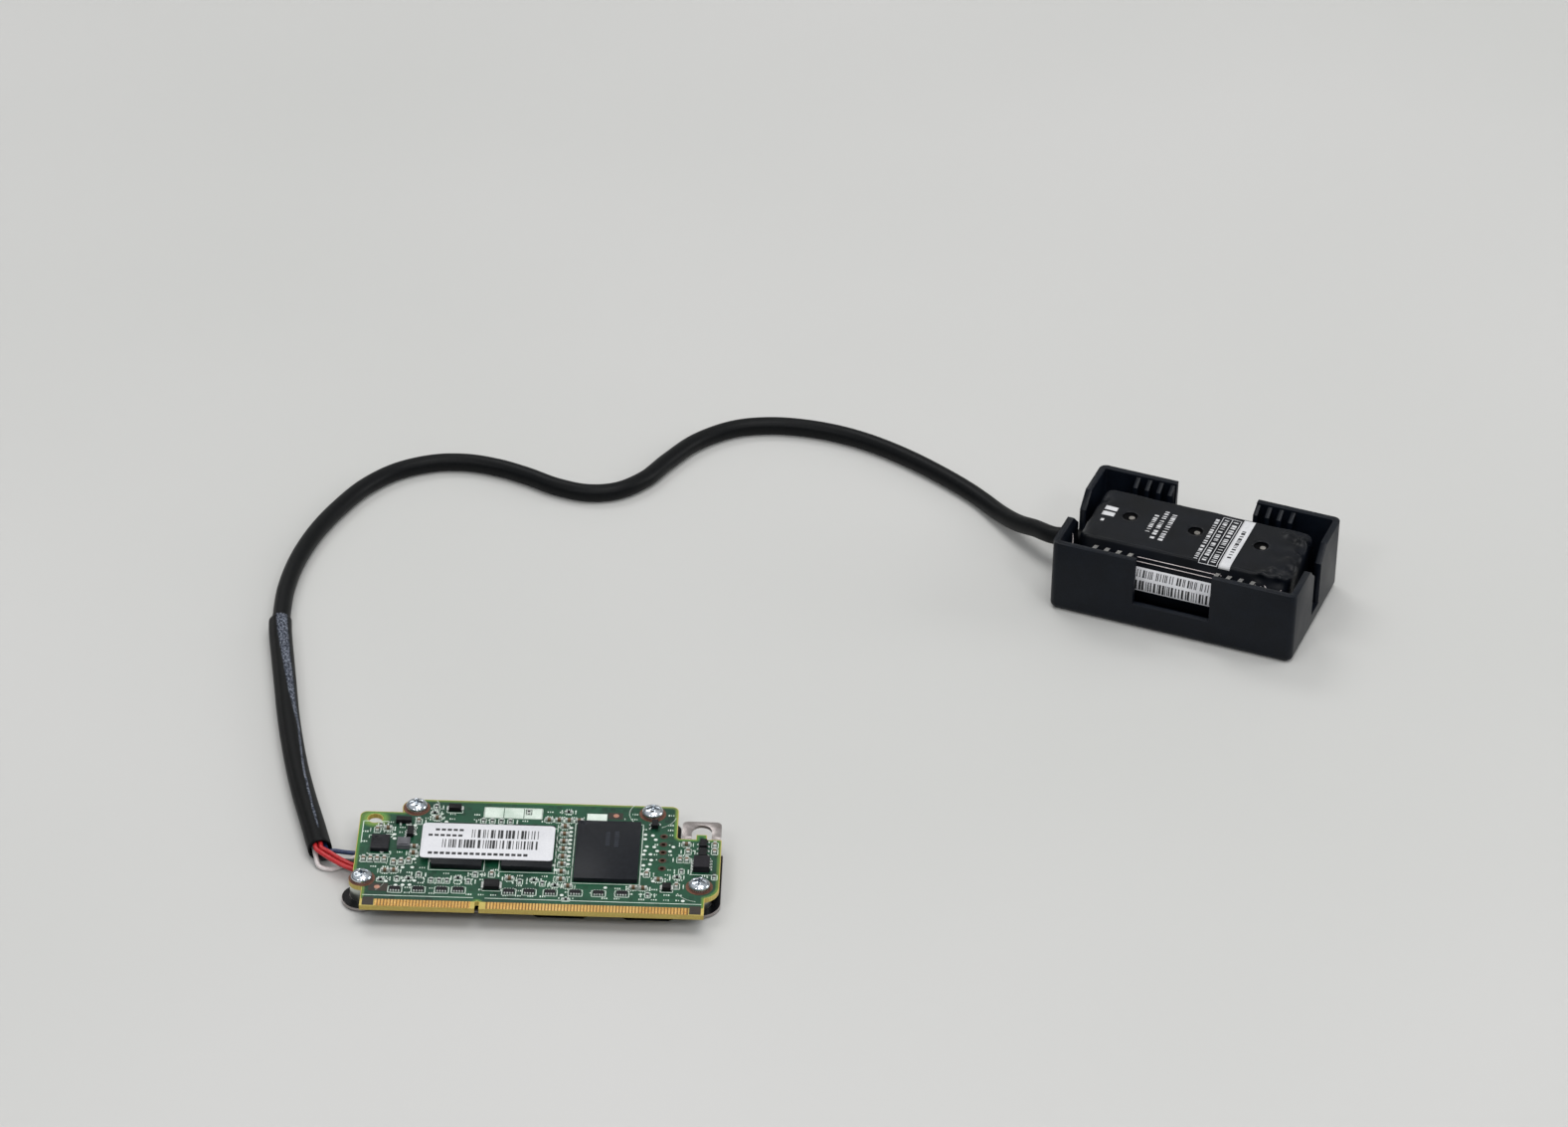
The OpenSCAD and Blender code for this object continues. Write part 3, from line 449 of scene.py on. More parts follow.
def make_lead():
    """The jacketed cable, the heat-shrunk sleeve at its end, and the five wires out of it."""
    jacket = lead_material("extruded vinyl jacket", "#050607", "#0c0e10", 0.5, 0.42, 0.15)
    route = lie_down(smooth_route(cable_points), CABLE_R)
    made = surface("cable_jacket", [tube_grid(route, CABLE_R, 28)], closed=True, ends=True)
    settle(made, jacket, ["cable"])
    route = smooth_route(sleeve_points)
    sleeve = make_sleeve(route)
    # the wires are too short to be cords of their own, and go with the sleeve
    for name, (slot, way, dark, light) in WIRES.items():
        material = lead_material(name.replace("_", " ") + " insulation", dark, light, 0.4, 0.3)
        wire = lie_down(smooth_route(wire_points(*way), 0.25 * MM), WIRE_R)
        made = surface(name + "_insulation", [tube_grid(wire, WIRE_R, 14)], closed=True, ends=True)
        settle(made, material, [name])


# ---------------------------------------------------------------- finishes

def plain(name, dark, light, size, roughness, metallic=0.0, depth=0.02, specular=0.5):
    """A moulded, cast or coated finish: two tones in a fine grain, with uneven gloss and bump.

    The grain's size and the bump's depth are in millimetres, and lumps twelve times as wide
    lie under the grain.
    """
    made, tree, place = new_material(name)
    fine = add(tree, "TexNoise", grain(place, size, 4))
    wide = add(tree, "TexNoise", grain(place, size * 12, 2))
    both = add(tree, "Mix", {0: 0.5, 2: fine, 3: wide}, data_type="FLOAT")
    tone = add(tree, "ValToRGB", {"Fac": both}, stops=((0.35, dark), (0.65, light)))
    gloss = add(tree, "MapRange", {"Value": wide, "To Min": roughness - 0.06,
                                   "To Max": roughness + 0.06})
    rise = add(tree, "Bump", {"Height": fine, "Distance": depth * MM, "Strength": 0.3})
    skin = add(tree, "BsdfPrincipled", {"Base Color": tone, "Roughness": gloss, "Normal": rise,
                                        "Metallic": metallic, "Specular IOR Level": specular})
    add(tree, "OutputMaterial", {"Surface": skin})
    return made


# Each finish: its material, darker and lighter tone, grain in millimetres, roughness and metal
FINISHES = {
    # thin gold over nickel: warm yellow, bright where it catches the lamps
    "edge_contacts": ("gold-plated contact", "#dca04a", "#f6cf84", 0.6, 0.28, 0.6),
    # copper left bare under the screw heads: brown and dull
    "screw_lands": ("oxidised bare copper", "#523325", "#7a4f3c", 0.3, 0.5, 0.3),
    # smooth coated film: even white with a low sheen
    "board_label": ("coated polyester label", "#d6d6da", "#e3e3e6", 0.4, 0.45),
    # turned and plated: a pale, slightly warm metal
    "standoffs": ("nickel-plated brass", "#b5bab2", "#d6dbd2", 0.2, 0.3, 1.0),
    # natural nylon: milky and cream
    "lead_socket": ("moulded nylon socket", "#cfc8b6", "#e0d9c8", 0.1, 0.5),
    "lead_plug": ("moulded nylon plug", "#e2dccd", "#f0ebde", 0.1, 0.5),
    # aluminium under a dark sleeve: black with a satin sheen
    "capacitor_cells": ("sleeved aluminium can", "#16181d", "#23262d", 0.3, 0.35),
    # solder seen down a hole: grey, darkened to half bright as painted shade of the hole
    "cell_pads": ("tinned solder pad in painted shade", "#5f5c58", "#a19d96", 0.1, 0.4, 0.3),
    # coated paper: white and a little rougher than the film label
    "pack_label": ("coated paper label", "#dcdce0", "#ebebee", 0.4, 0.5),
    # pressed iron powder: mid grey and grainy
    "power_inductor": ("sintered ferrite", "#4b4b50", "#68686d", 0.1, 0.5),
}
MOULD = {   # epoxy mould compounds: near black and dull, with a fine grain of silica
    "flash_chip": ("#101217", "#1a1d23", 0.42),
    "memory_chips": ("#0e1013", "#181b1f", 0.4),
    "lower_memory_chips": ("#0e1013", "#181b1f", 0.4),
    "power_controller": ("#131316", "#212126", 0.4),
    "diodes": ("#0c0c0e", "#161618", 0.4),
    "transistors": ("#0f0f11", "#1b1b1e", 0.4),
    "logic_chip": ("#17151a", "#242228", 0.4),
}
NYLON = ("#070b12", "#0e141d", 0.35, 0.38)   # darker and lighter tone, grain, roughness
DULL = 0.2   # specular level of dark plastics that show little of the room


def laminate_material():
    """Bare glass epoxy: straw yellow, with the weave of its glass cloth, 0.5 mm a thread."""
    made, tree, place = new_material("bare glass-epoxy laminate")
    weave = add(tree, "TexBrick", {"Vector": place, "Scale": 1 / MM, "Mortar Size": 0.04,
                                   "Color1": lin("#b99a45"), "Color2": lin("#c2b05a"),
                                   "Mortar": lin("#a58637")}, out="Color")
    fine = add(tree, "TexNoise", grain(place, 0.3))
    tone = add(tree, "Mix", {0: fine, 6: weave, 7: lin("#c9bb66")}, data_type="RGBA", out=2)
    rise = add(tree, "Bump", {"Height": fine, "Distance": 0.03 * MM, "Strength": 0.4})
    skin = add(tree, "BsdfPrincipled", {"Base Color": tone, "Roughness": 0.5, "Normal": rise})
    add(tree, "OutputMaterial", {"Surface": skin})
    return made


def mask_material(name, by_rim):
    """Green solder mask over etched copper: satin, with blocky patches where copper lies under
    it, and, by the board's rim, the laminate shining through."""
    made, tree, place = new_material(name)
    patch = add(tree, "TexVoronoi", {"Vector": place, "Scale": 1 / (1.9 * MM)},
                distance="CHEBYCHEV", out="Distance")
    wide = add(tree, "TexNoise", grain(place, 9, 2))
    fine = add(tree, "TexNoise", grain(place, 0.18))
    under = add(tree, "ValToRGB", {"Fac": patch},
                stops=((0.22, "#0a2a1e"), (0.3, "#104631"), (0.62, "#0d3a29")))
    lit = add(tree, "ValToRGB", {"Fac": wide}, stops=((0.4, "#0c3524"), (0.62, "#1a5839")))
    tone = add(tree, "Mix", {0: 0.45, 6: under, 7: lit}, data_type="RGBA", out=2)
    if by_rim:
        rim = add(tree, "Attribute", attribute_name="rim", out="Fac")
        uneven = add(tree, "Math", {0: fine, 1: 0.35, 2: rim}, operation="MULTIPLY_ADD")
        share = add(tree, "ValToRGB", {"Fac": uneven}, stops=((0.28, BLACK), (0.95, WHITE)))
        margin = add(tree, "ValToRGB", {"Fac": wide}, stops=((0.35, "#94a850"), (0.65, "#579a3a")))
        tone = add(tree, "Mix", {0: share, 6: margin, 7: tone}, data_type="RGBA", out=2)
    rise = add(tree, "Bump", {"Height": fine, "Distance": 0.015 * MM, "Strength": 0.35})
    skin = add(tree, "BsdfPrincipled", {"Base Color": tone, "Roughness": 0.34, "Normal": rise,
                                        "Specular IOR Level": 0.35})
    add(tree, "OutputMaterial", {"Surface": skin})
    return made


def paint(node, *materials, index=None):
    """Gives a solid its finishes; index says which of them each face takes."""
    mesh = NODES[node].data
    mesh.materials.clear()
    for material in materials:
        mesh.materials.append(material)
    if index is not None:
        mesh.polygons.foreach_set("material_index", np.asarray(index, np.int32))
        mesh.update()


def faces_of(node):
    """Middles and normals of a solid's faces."""
    mesh = NODES[node].data
    middle, normal = np.zeros((2, len(mesh.polygons) * 3))
    mesh.polygons.foreach_get("center", middle)
    mesh.polygons.foreach_get("normal", normal)
    return middle.reshape(-1, 3), normal.reshape(-1, 3)


def soften(node, width, angle=35):
    """Rounds a solid's sharp edges: its loose faces are joined, and edges that turn more than
    the angle are bevelled."""
    solid = NODES[node]
    join = solid.modifiers.new("join", "WELD")
    join.merge_threshold = TOUCH
    bevel = solid.modifiers.new("soft edges", "BEVEL")
    bevel.width, bevel.segments = width * MM, 2
    bevel.limit_method, bevel.angle_limit = "ANGLE", math.radians(angle)
    bevel.use_clamp_overlap = True
    bevel.harden_normals = True
    solid.data.polygons.foreach_set("use_smooth", np.ones(len(solid.data.polygons), bool))


def dress_leads():
    """The small packages: their leads, which are the faces within reach of a package's ends,
    are tinned."""
    # tin over copper: pale grey and half bright
    tin = plain("tinned lead frame", "#b9beba", "#e3e7e3", 0.1, 0.3, 0.6)
    for node, reach in (("transistors", 0.38), ("logic_chip", 0.42)):
        low, high = boxes_of(node)
        middle = faces_of(node)[0]
        inside = ((middle[:, None] > low - TOUCH) & (middle[:, None] < high + TOUCH)).all(2)
        part = inside.argmax(1)
        # the leads of the leftmost transistor package point the other way
        axis = np.where((node == "transistors") & (part == 0), 1, 0)
        take = np.arange(len(middle)), axis
        near = np.minimum(middle[take] - low[part, axis], high[part, axis] - middle[take])
        dark, light, rough = MOULD[node]
        epoxy = plain("epoxy package, " + node, dark, light, 0.08, rough, specular=DULL)
        paint(node, epoxy, tin, index=near < reach * MM)


def dress_solids():
    """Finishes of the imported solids: the small fittings, the chips, the board, its plate and
    films, and the tray. The larger ones also get soft edges."""
    for node, finish in FINISHES.items():
        paint(node, plain(*finish))
    for node, (dark, light, rough) in MOULD.items():
        paint(node, plain("epoxy mould compound, " + node.replace("_", " "), dark, light, 0.08,
                          rough, specular=DULL))
    # black lacquer deep in the pack: darkened to near black, its sheen held down, as painted shade
    paint("cell_board", plain("black lacquered circuit board in painted shade", "#020203", "#050506", 0.2, 0.7,
                              specular=0.05))
    # the board itself is bare laminate at its edges and along the tongue
    normal = faces_of("circuit_board")[1]
    paint("circuit_board", laminate_material(), mask_material("solder mask, lower face", False),
          index=normal[:, 2] < -0.9)
    dress_leads()
    # rolled sheet, left plain: grey-brown, with a soft and slightly cloudy shine
    paint("base_plate", plain("cold-rolled sheet steel", "#8d8683", "#b3acaa", 0.25, 0.36, 0.75))
    # smooth thin film: black, with a clear but weak sheen
    film = ("#08080a", "#121215", 0.3, 0.25)
    paint("plate_film", plain("black polyester film", *film, specular=DULL))
    paint("base_film", plain("black polyester film, lower", *film, specular=DULL))
    # moulded nylon: near black, satin, with the fine tooth of its mould
    paint("holder_tray", plain("moulded black nylon", *NYLON, depth=0.03, specular=DULL))
    for node, width in (("holder_tray", 0.22), ("base_plate", 0.08), ("flash_chip", 0.1),
                        ("memory_chips", 0.1), ("power_controller", 0.08), ("diodes", 0.08),
                        ("board_label", 0.02)):
        soften(node, width)


# ---------------------------------------------------------------- small solids in numbers

def triangles_of(node):
    """A solid's corner places, those at one place counted as one, and its triangles."""
    mesh = NODES[node].data
    co = np.zeros(len(mesh.vertices) * 3)
    mesh.vertices.foreach_get("co", co)
    at, same = np.unique(np.round(co.reshape(-1, 3), 7), axis=0, return_inverse=True)
    corner = np.zeros(len(mesh.loops), np.int32)
    mesh.loops.foreach_get("vertex_index", corner)
    return at, same.ravel()[corner].reshape(-1, 3)


def boxes_of(node):
    """Low and high corners of a node's separate solids, from left to right.

    Each corner takes the lowest label among the corners of its triangles, again and again,
    until nothing changes.
    """
    at, face = triangles_of(node)
    label = np.arange(len(at))
    while True:
        lower = label.copy()
        np.minimum.at(lower, face.ravel(), np.repeat(label[face].min(1), 3))
        lower = lower[lower]
        if (lower == label).all():
            break
        label = lower
    group = np.unique(label, return_inverse=True)[1].ravel()
    low = np.full((group.max() + 1, 3), np.inf)
    high = -low
    np.minimum.at(low, group, at)
    np.maximum.at(high, group, at)
    order = np.argsort(low[:, 0])
    return low[order], high[order]


SIGNS = np.array([(x, y, z) for x in (-1, 1) for y in (-1, 1) for z in (-1, 1)])


def block_faces():
    """Faces of one box with cut edges, whose corner c has points 3c, 3c + 1 and 3c + 2.

    A step of 4, 2 or 1 leads from a corner to its neighbour along x, y or z.
    """
    unit = np.concatenate([[np.where(np.arange(3) == k, s, 0.8 * s) for k in range(3)]
                           for s in SIGNS])
    found = []
    for k, step in enumerate((4, 2, 1)):
        i, j = (m for m in range(3) if m != k)
        near = [n for n in range(8) if not n & step]
        found += [[3 * (near[m] + far) + k for m in (0, 1, 3, 2)] for far in (0, step)]
        found += [[3 * n + i, 3 * (n + step) + i, 3 * (n + step) + j, 3 * n + j] for n in near]
    found += [[3 * n, 3 * n + 1, 3 * n + 2] for n in range(8)]
    outward = []
    for f in found:
        p = unit[f]
        turn = np.cross(p[1] - p[0], p[2] - p[0]) @ p.mean(0)
        outward.append(f if turn > 0 else f[::-1])
    return outward


BLOCK = block_faces()


def repeat_faces(faces, count, points):
    """The same faces for each of many equal solids."""
    return [[v + k * points for v in f] for k in range(count) for f in faces]


def blocks(name, low, high, cut):
    """Boxes whose edges are cut at 45 degrees: point k of a corner keeps its place on axis k
    and is drawn in by the cut on the other two."""
    low, high = np.asarray(low, float), np.asarray(high, float)
    half, centre = (high - low) / 2, (low + high) / 2
    full, inner = SIGNS * half[:, None], SIGNS * (half[:, None] - cut)
    points = np.stack([np.where(np.arange(3) == k, full, inner) for k in range(3)], 2)
    points = points + centre[:, None, None]
    return piece(name, points.reshape(-1, 3), repeat_faces(BLOCK, len(low), 24))


def prisms(name, groups):
    """Upright prisms on convex outlines that run anticlockwise; each group holds its outlines
    (count, corners, x and y), and the low and high level."""
    points, faces, base = [], [], 0
    for outlines, low, high in groups:
        count, k = outlines.shape[:2]
        both = [np.concatenate([outlines, np.full((count, k, 1), z)], -1) for z in (low, high)]
        points.append(np.concatenate(both, 1).reshape(-1, 3))
        ring = np.arange(k)
        after = np.roll(ring, -1)
        one = [ring[::-1].tolist(), (ring + k).tolist(),
               *np.stack([ring, after, after + k, ring + k], -1).tolist()]
        faces += [[v + base for v in f] for f in repeat_faces(one, count, 2 * k)]
        base += 2 * k * count
    return piece(name, np.concatenate(points), faces)


def pairs(edges, last):
    """Starts and stops from edges that run up, without those past the last place."""
    edges = edges[edges < last]
    return edges[:len(edges) // 2 * 2].reshape(-1, 2)


def rectangles(x0, y0, x1, y1):
    """Outlines of upright rectangles, in the board's millimetres."""
    x0, y0, x1, y1 = np.broadcast_arrays(*(np.atleast_1d(np.asarray(v, float))
                                           for v in (x0, y0, x1, y1)))
    x, y = np.stack([x0, x1, x1, x0], -1), np.stack([y0, y0, y1, y1], -1)
    return on_board(x, y)[..., :2]


def strokes(starts, stops, width):
    """Outlines of straight pen strokes with square ends, in the board's millimetres."""
    a, b = np.asarray(starts, float), np.asarray(stops, float)
    d = (b - a) / np.linalg.norm(b - a, axis=1)[:, None] * width / 2
    n = np.stack([-d[:, 1], d[:, 0]], -1)
    p = np.stack([a - d - n, b + d - n, b + d + n, a - d + n], 1)
    return on_board(p[..., 0], p[..., 1])[..., :2]


def discs(places, radius, sides=12):
    """Outlines of round dots, in the board's millimetres."""
    p = np.asarray(places, float)[:, None] + radius * on_circle(around(sides))
    return on_board(p[..., 0], p[..., 1])[..., :2]


def frame_strokes(x0, y0, x1, y1):
    """The four sides of rectangles, as starts and stops."""
    c = np.stack([np.stack([x0, y0], -1), np.stack([x1, y0], -1), np.stack([x1, y1], -1),
                  np.stack([x0, y1], -1)], 1)
    return c.reshape(-1, 2), np.roll(c, -1, 1).reshape(-1, 2)


def arc_strokes(middle, radius, first, last, steps=14):
    """An arc between two angles in degrees, as starts and stops."""
    p = np.asarray(middle) + radius * on_circle(np.radians(np.linspace(first, last, steps + 1)))
    return p[:-1], p[1:]


def turned_rings(places, section):
    """Rings about upright axes on the board, from a section of radius and level."""
    a = around(24)
    return [np.stack([on_board(x + r * np.cos(a), y + r * np.sin(a), z) for r, z in section])
            for x, y in places]


def in_board(metres):
    """Places in metres as board millimetres, x and y."""
    start = np.array([board_low[0] + BOARD_LEFT_MM * MM, board_low[1]])
    return (metres[..., :2] - start) / MM


def board_boxes(*nodes):
    """The separate solids of nodes as board millimetres: left, front, right and back."""
    return np.concatenate([np.hstack([in_board(corner) for corner in boxes_of(node)])
                           for node in nodes])


# ---------------------------------------------------------------- the board's dress

MASK_EDGE, MASK_FRONT, MASK_T = 0.12, 2.15, 0.012   # set back from the rim, the tongue; thick
EAR_HOLE = (0.9, 27.1)   # its middle
HEADER_X, HEADER_Y, HEADER_PITCH = 55.7, 14, 2.5   # the row of five plated holes


def rim_of_board():
    """Edges round the board's top face: those that only one of its triangles has."""
    at, face = triangles_of("circuit_board")
    face = face[(at[face][:, :, 2] > BOARD_TOP - TOUCH).all(1)]
    edge = np.sort(np.concatenate([face[:, [0, 1]], face[:, [1, 2]], face[:, [2, 0]]]), 1)
    pairs_of, count = np.unique(edge, axis=0, return_counts=True)
    return in_board(at[pairs_of[count == 1]])


def corners_of(cells, shape):
    """How many of a grid's kept cells meet at each of its points."""
    count = np.zeros(shape, int)
    for i in (0, 1):
        for j in (0, 1):
            count[i:i + cells.shape[0], j:j + cells.shape[1]] += cells
    return count


def make_mask():
    """Solder mask on the top face: a fine grid that keeps its cells inside the rim, with the
    outermost points moved onto the mask's edge, down the slope of their distance from it. Each
    point holds its distance from the rim."""
    a, b = rim_of_board().transpose(1, 0, 2)
    pitch = 0.25
    px, py = np.meshgrid(np.arange(-2.5, 67.2, pitch), np.arange(-0.5, 34.0, pitch), indexing="ij")
    p = np.stack([px, py], -1).reshape(-1, 1, 2)
    d = b - a
    t = np.clip(((p - a) * d).sum(-1) / (d * d).sum(-1), 0, 1)
    away = np.linalg.norm(p - (a + t[..., None] * d), axis=-1)
    # a point is inside where a line to its right crosses the rim an odd number of times
    rises = (a[:, 1] > p[..., 1]) != (b[:, 1] > p[..., 1])
    cross = a[:, 0] + (p[..., 1] - a[:, 1]) * d[:, 0] / np.where(d[:, 1] == 0, 1e-12, d[:, 1])
    inside = (rises & (p[..., 0] < cross)).sum(1) % 2 == 1
    # laminate shines through by the outer rim and round the ear's hole, not by the header's holes
    from_edge = away[:, np.abs(a[:, 0] - HEADER_X) > 1].min(1)
    ear = np.linalg.norm(p[:, 0] - EAR_HOLE, axis=-1)
    from_edge = np.minimum(from_edge, 0.42 * np.maximum(ear - 1.2, 0))
    depth = np.where(inside, away.min(1), -away.min(1)).reshape(px.shape)
    room = np.minimum(depth - MASK_EDGE, py - MASK_FRONT)
    kept = (room[:-1, :-1] > 0) & (room[1:, :-1] > 0) & (room[1:, 1:] > 0) & (room[:-1, 1:] > 0)
    count = corners_of(kept, px.shape)
    used = count > 0
    gx, gy = np.gradient(room, pitch)
    size = np.maximum(np.hypot(gx, gy), 0.5)
    edge = used & (count < 4) & (room < 1.5 * pitch)
    px = np.where(edge, px - gx / size * room, px)
    py = np.where(edge, py - gy / size * room, py)
    index = np.cumsum(used.ravel()).reshape(used.shape) - 1
    quads = quads_of(index)[kept][:, [0, 3, 2, 1]]
    made = piece("solder_mask", on_board(px[used], py[used], MASK_T), quads.tolist(), True)
    hold(made, "rim", from_edge.reshape(used.shape)[used])
    thicken(made, MASK_T)
    settle(made, mask_material("solder mask over copper", True))


def chip_parts(node, material):
    """The bodies of two-ended chips, and the low and high corners of their tinned ends: a
    quarter of the length each, and a fillet of solder beyond it."""
    low, high = boxes_of(node)
    along = np.eye(3)[(high - low)[:, :2].argmax(1)]
    end = 0.25 * ((high - low) * along).sum(1)[:, None] * along
    fillet = along * 0.16 * MM
    inset = (1 - along) * np.array([0.02, 0.02, 0]) * MM
    sunk = np.array([0, 0, 0.03]) * MM
    body_low, body_high = low + end * 0.8 + inset, high - end * 0.8 - inset - sunk
    settle(blocks(node + "_bodies", body_low, body_high, 0.03 * MM), material, [node])
    return ([low - fillet, np.where(along > 0, high - end, low)],
            [np.where(along > 0, low + end, high), high + fillet])


def make_small_parts():
    """Chip capacitors and resistors: a body between two tinned ends; pads under the ends of the
    diodes; and arrays with eight ends."""
    # fired ceramic: brown and dull; glaze: black and smooth; tin: pale grey and half bright
    ceramic = plain("fired dielectric ceramic", "#57432f", "#7d6347", 0.06, 0.4)
    glaze = plain("black resistor glaze", "#0d0d10", "#1d1d21", 0.06, 0.3, specular=DULL)
    tin = plain("tinned chip end", "#a9ada9", "#dfe3df", 0.08, 0.32, 0.6)
    lows, highs = chip_parts("ceramic_capacitors", ceramic)
    more_lows, more_highs = chip_parts("chip_resistors", glaze)
    lows += more_lows
    highs += more_highs

    low, high = boxes_of("diodes")
    along = np.eye(3)[(high - low)[:, :2].argmax(1)]
    inset = (1 - along) * np.array([0.25, 0.25, 0]) * MM
    for end, before, after in ((low, 0.42, 0.05), (high, 0.05, 0.42)):
        pad_low = np.where(along > 0, end - before * MM, low) + inset
        pad_high = np.where(along > 0, end + after * MM, high) - inset
        pad_high[:, 2] = low[:, 2] + 0.35 * MM
        lows.append(pad_low)
        highs.append(pad_high)

    low, high = boxes_of("resistor_arrays")
    wide = np.array([0, 0.17, 0]) * MM
    settle(blocks("array_bodies", low + wide, high - wide, 0.04 * MM), glaze,
           ["resistor_arrays"])
    middle = (low + high) / 2
    for k in range(4):
        x = middle[:, :1] + (k - 1.5) * 0.5 * MM
        for side in (-1, 1):
            y = middle[:, 1:2] + side * 0.55 * MM
            lows.append(np.hstack([x - 0.15 * MM, y - 0.2 * MM, low[:, 2:]]))
            highs.append(np.hstack([x + 0.15 * MM, y + 0.2 * MM, high[:, 2:] - 0.1 * MM]))
    settle(blocks("tinned_ends", np.concatenate(lows), np.concatenate(highs), 0.03 * MM),
           tin)


SMALL_CHIPS = ["ceramic_capacitors", "chip_resistors"]
# everything that stands on the board
STANDING = ["flash_chip", "memory_chips", "power_controller", "transistors", "power_inductor",
            "diodes", "logic_chip", "resistor_arrays", *SMALL_CHIPS, "screw_lands", "board_label"]


def free_of(boxes, taken, gap):
    """Which boxes keep that gap from every taken one."""
    x0, y0, x1, y1 = boxes.T[..., None]
    clash = ((x0 < taken[:, 2] + gap) & (x1 > taken[:, 0] - gap)
             & (y0 < taken[:, 3] + gap) & (y1 > taken[:, 1] - gap))
    return ~clash.any(1)


# Centres of the solder-filled holes
VIAS = [(38.1, 14.5 + 1.26 * k) for k in range(10)] + [
    (52.2, 24.4), (52.2, 23), (53.6, 24.2), (54.2, 22.9), (52.6, 20.7), (54, 20.6), (52.3, 19.4),
    (52.1, 18.2), (54.6, 19.4), (53.4, 18.3), (53.6, 16.5), (52.2, 14.8), (53.4, 15.2),
    (53.1, 13.6), (52, 12.1), (57, 19.4), (57.6, 20.8), (54.2, 10), (60, 4.2), (37.4, 4.9),
    (45.4, 7.6), (2, 17.2), (2.9, 16.6), (9.2, 14.7), (9.6, 15.6), (12.2, 14.3), (7.2, 12),
    (9, 12.1), (6.4, 7.8), (7.7, 7.9), (9.7, 8), (4.4, 7.6), (6.3, 6.5), (7.6, 6.6), (8.9, 6.7),
    (13.4, 26.1), (14.4, 26.6), (26.9, 13.2), (35.8, 12.6), (35.4, 14), (8.6, 25.2), (7.2, 25.4),
    (4.9, 22.2), (5, 20.9), (8.8, 22.4)]
# Left, front, right and back of the dark windows in the mask, and of the solid white blocks
WINDOWS = [(0.45, 0.2, 2.6, 2.7), (61.3, 0.2, 63.45, 2.7), (1.3, 4.6, 4.9, 7.0),
           (44.9, 29.0, 47.7, 31.0)]
WHITE_BOXES = [(21.4, 28.3, 25.05, 31.6), (25.2, 28.3, 28.85, 31.6), (29, 28.3, 32.4, 31.6),
               (40.9, 27.8, 44.7, 30.5)]
# Runs of straight lines, each through its points
INK_LINES = [
    [(0.4, 3.3), (20.9, 3.3)], [(23.2, 3.3), (63.4, 3.3)], [(4.6, 21.6), (4.6, 22.2), (3.4, 22.2)],
    [(0.2, 21), (0.2, 21.8), (1.2, 21.8)], [(0.2, 16.2), (0.2, 15.9), (4.6, 15.9), (4.6, 16.8)],
    [(-1.2, 26.2), (-1.2, 19.4)], [(-1.2, 26.2), (3.4, 26.2)],
    [(61.2, 12.6), (61.2, 17.4), (60.2, 17.4)], [(61, 12.4), (65.6, 12.4)]]
# Arcs round the screws: middle, radius, and first and last angle in degrees
INK_ARCS = [((8.5, 30.8), 4.4, -40, 32), ((53.3, 31), 4.4, 145, 215), ((53.3, 31), 4.6, -65, -15),
            ((62.9, 8.7), 4.6, 210, 262), ((-0.2, 8.3), 4.4, -48, -10)]
INK_WIDTH, TICK_STEP = 0.16, 0.42   # of a line, and from one tick of a three to the next


def ink_strokes():
    """Outlines of the ink lines: runs and arcs, and boxes round the parts."""
    found = [(np.array(run[:-1], float), np.array(run[1:], float)) for run in INK_LINES]
    found += [arc_strokes(*arc) for arc in INK_ARCS]
    for nodes, gap in ((["flash_chip"], 0.4), (["memory_chips"], 0.45), (["resistor_arrays"], 0.3),
                       (["diodes"], 0.3), (SMALL_CHIPS, 0.27)):
        grown = board_boxes(*nodes) + [-gap, -gap, gap, gap]
        found.append(frame_strokes(*grown.T))
    found.append(frame_strokes(*np.array([[21.4, 28.3, 32.4, 31.6]]).T))
    starts, stops = zip(*found)
    return strokes(np.concatenate(starts), np.concatenate(stops), INK_WIDTH)


def ink_ticks():
    """Outlines of short ticks in threes where a part's name would be, wherever the board is
    free: beside the small chips, and over the rest of it at random."""
    small = board_boxes(*SMALL_CHIPS)
    middle = (small[:, :2] + small[:, 2:]) / 2
    beside = np.array([(0, 0.75), (0, -0.75), (1.3, 0), (-1.3, 0)])
    step = TICK_STEP * np.array([(1, 0), (1, 0), (0, 1), (0, 1)])
    three = np.array([-1, 0, 1])[:, None]
    near = middle[:, None, None] + beside[:, None] + three * step[:, None]
    grid_x, grid_y = np.meshgrid(np.arange(-0.6, 65.6, 2.3), np.arange(4.6, 32.2, 1.55))
    extra = np.stack([grid_x.ravel(), grid_y.ravel()], -1)
    extra = extra[rng.random(len(extra)) < 0.6] + rng.normal(0, 0.25, (1, 2))
    at = np.concatenate([near.reshape(-1, 2),
                         (extra[:, None] + three * [TICK_STEP, 0]).reshape(-1, 2)])
    size = np.stack([rng.uniform(0.12, 0.3, len(at)), rng.uniform(0.3, 0.52, len(at))], -1)
    ticks = np.hstack([at - size / 2, at + size / 2])
    dots = np.array(VIAS)
    header = (HEADER_X - 0.8, HEADER_Y - 0.8, HEADER_X + 0.8, HEADER_Y + 4 * HEADER_PITCH + 0.8)
    taken = np.concatenate([board_boxes(*STANDING), np.hstack([dots - 0.36, dots + 0.36]),
                            [header, *WINDOWS, *WHITE_BOXES]])
    x0, y0, x1, y1 = ticks.T
    free = free_of(ticks, taken, 0.12)
    free &= (y0 > 3.6) & (y1 < 32.6) & (x0 > -1.5) & (x1 < 65.9)
    # off the recess at the back right, the cut-outs at the back left, and the front left corner
    free &= ~((x1 > 57.6) & (y1 > 23.0))
    free &= ~((x0 < 9.5) & (y1 > 28.4)) & ~((x0 < 3.2) & (y1 > 24.6)) & ~((y0 < 11) & (x0 < 1.8))
    return rectangles(*ticks[free].T)


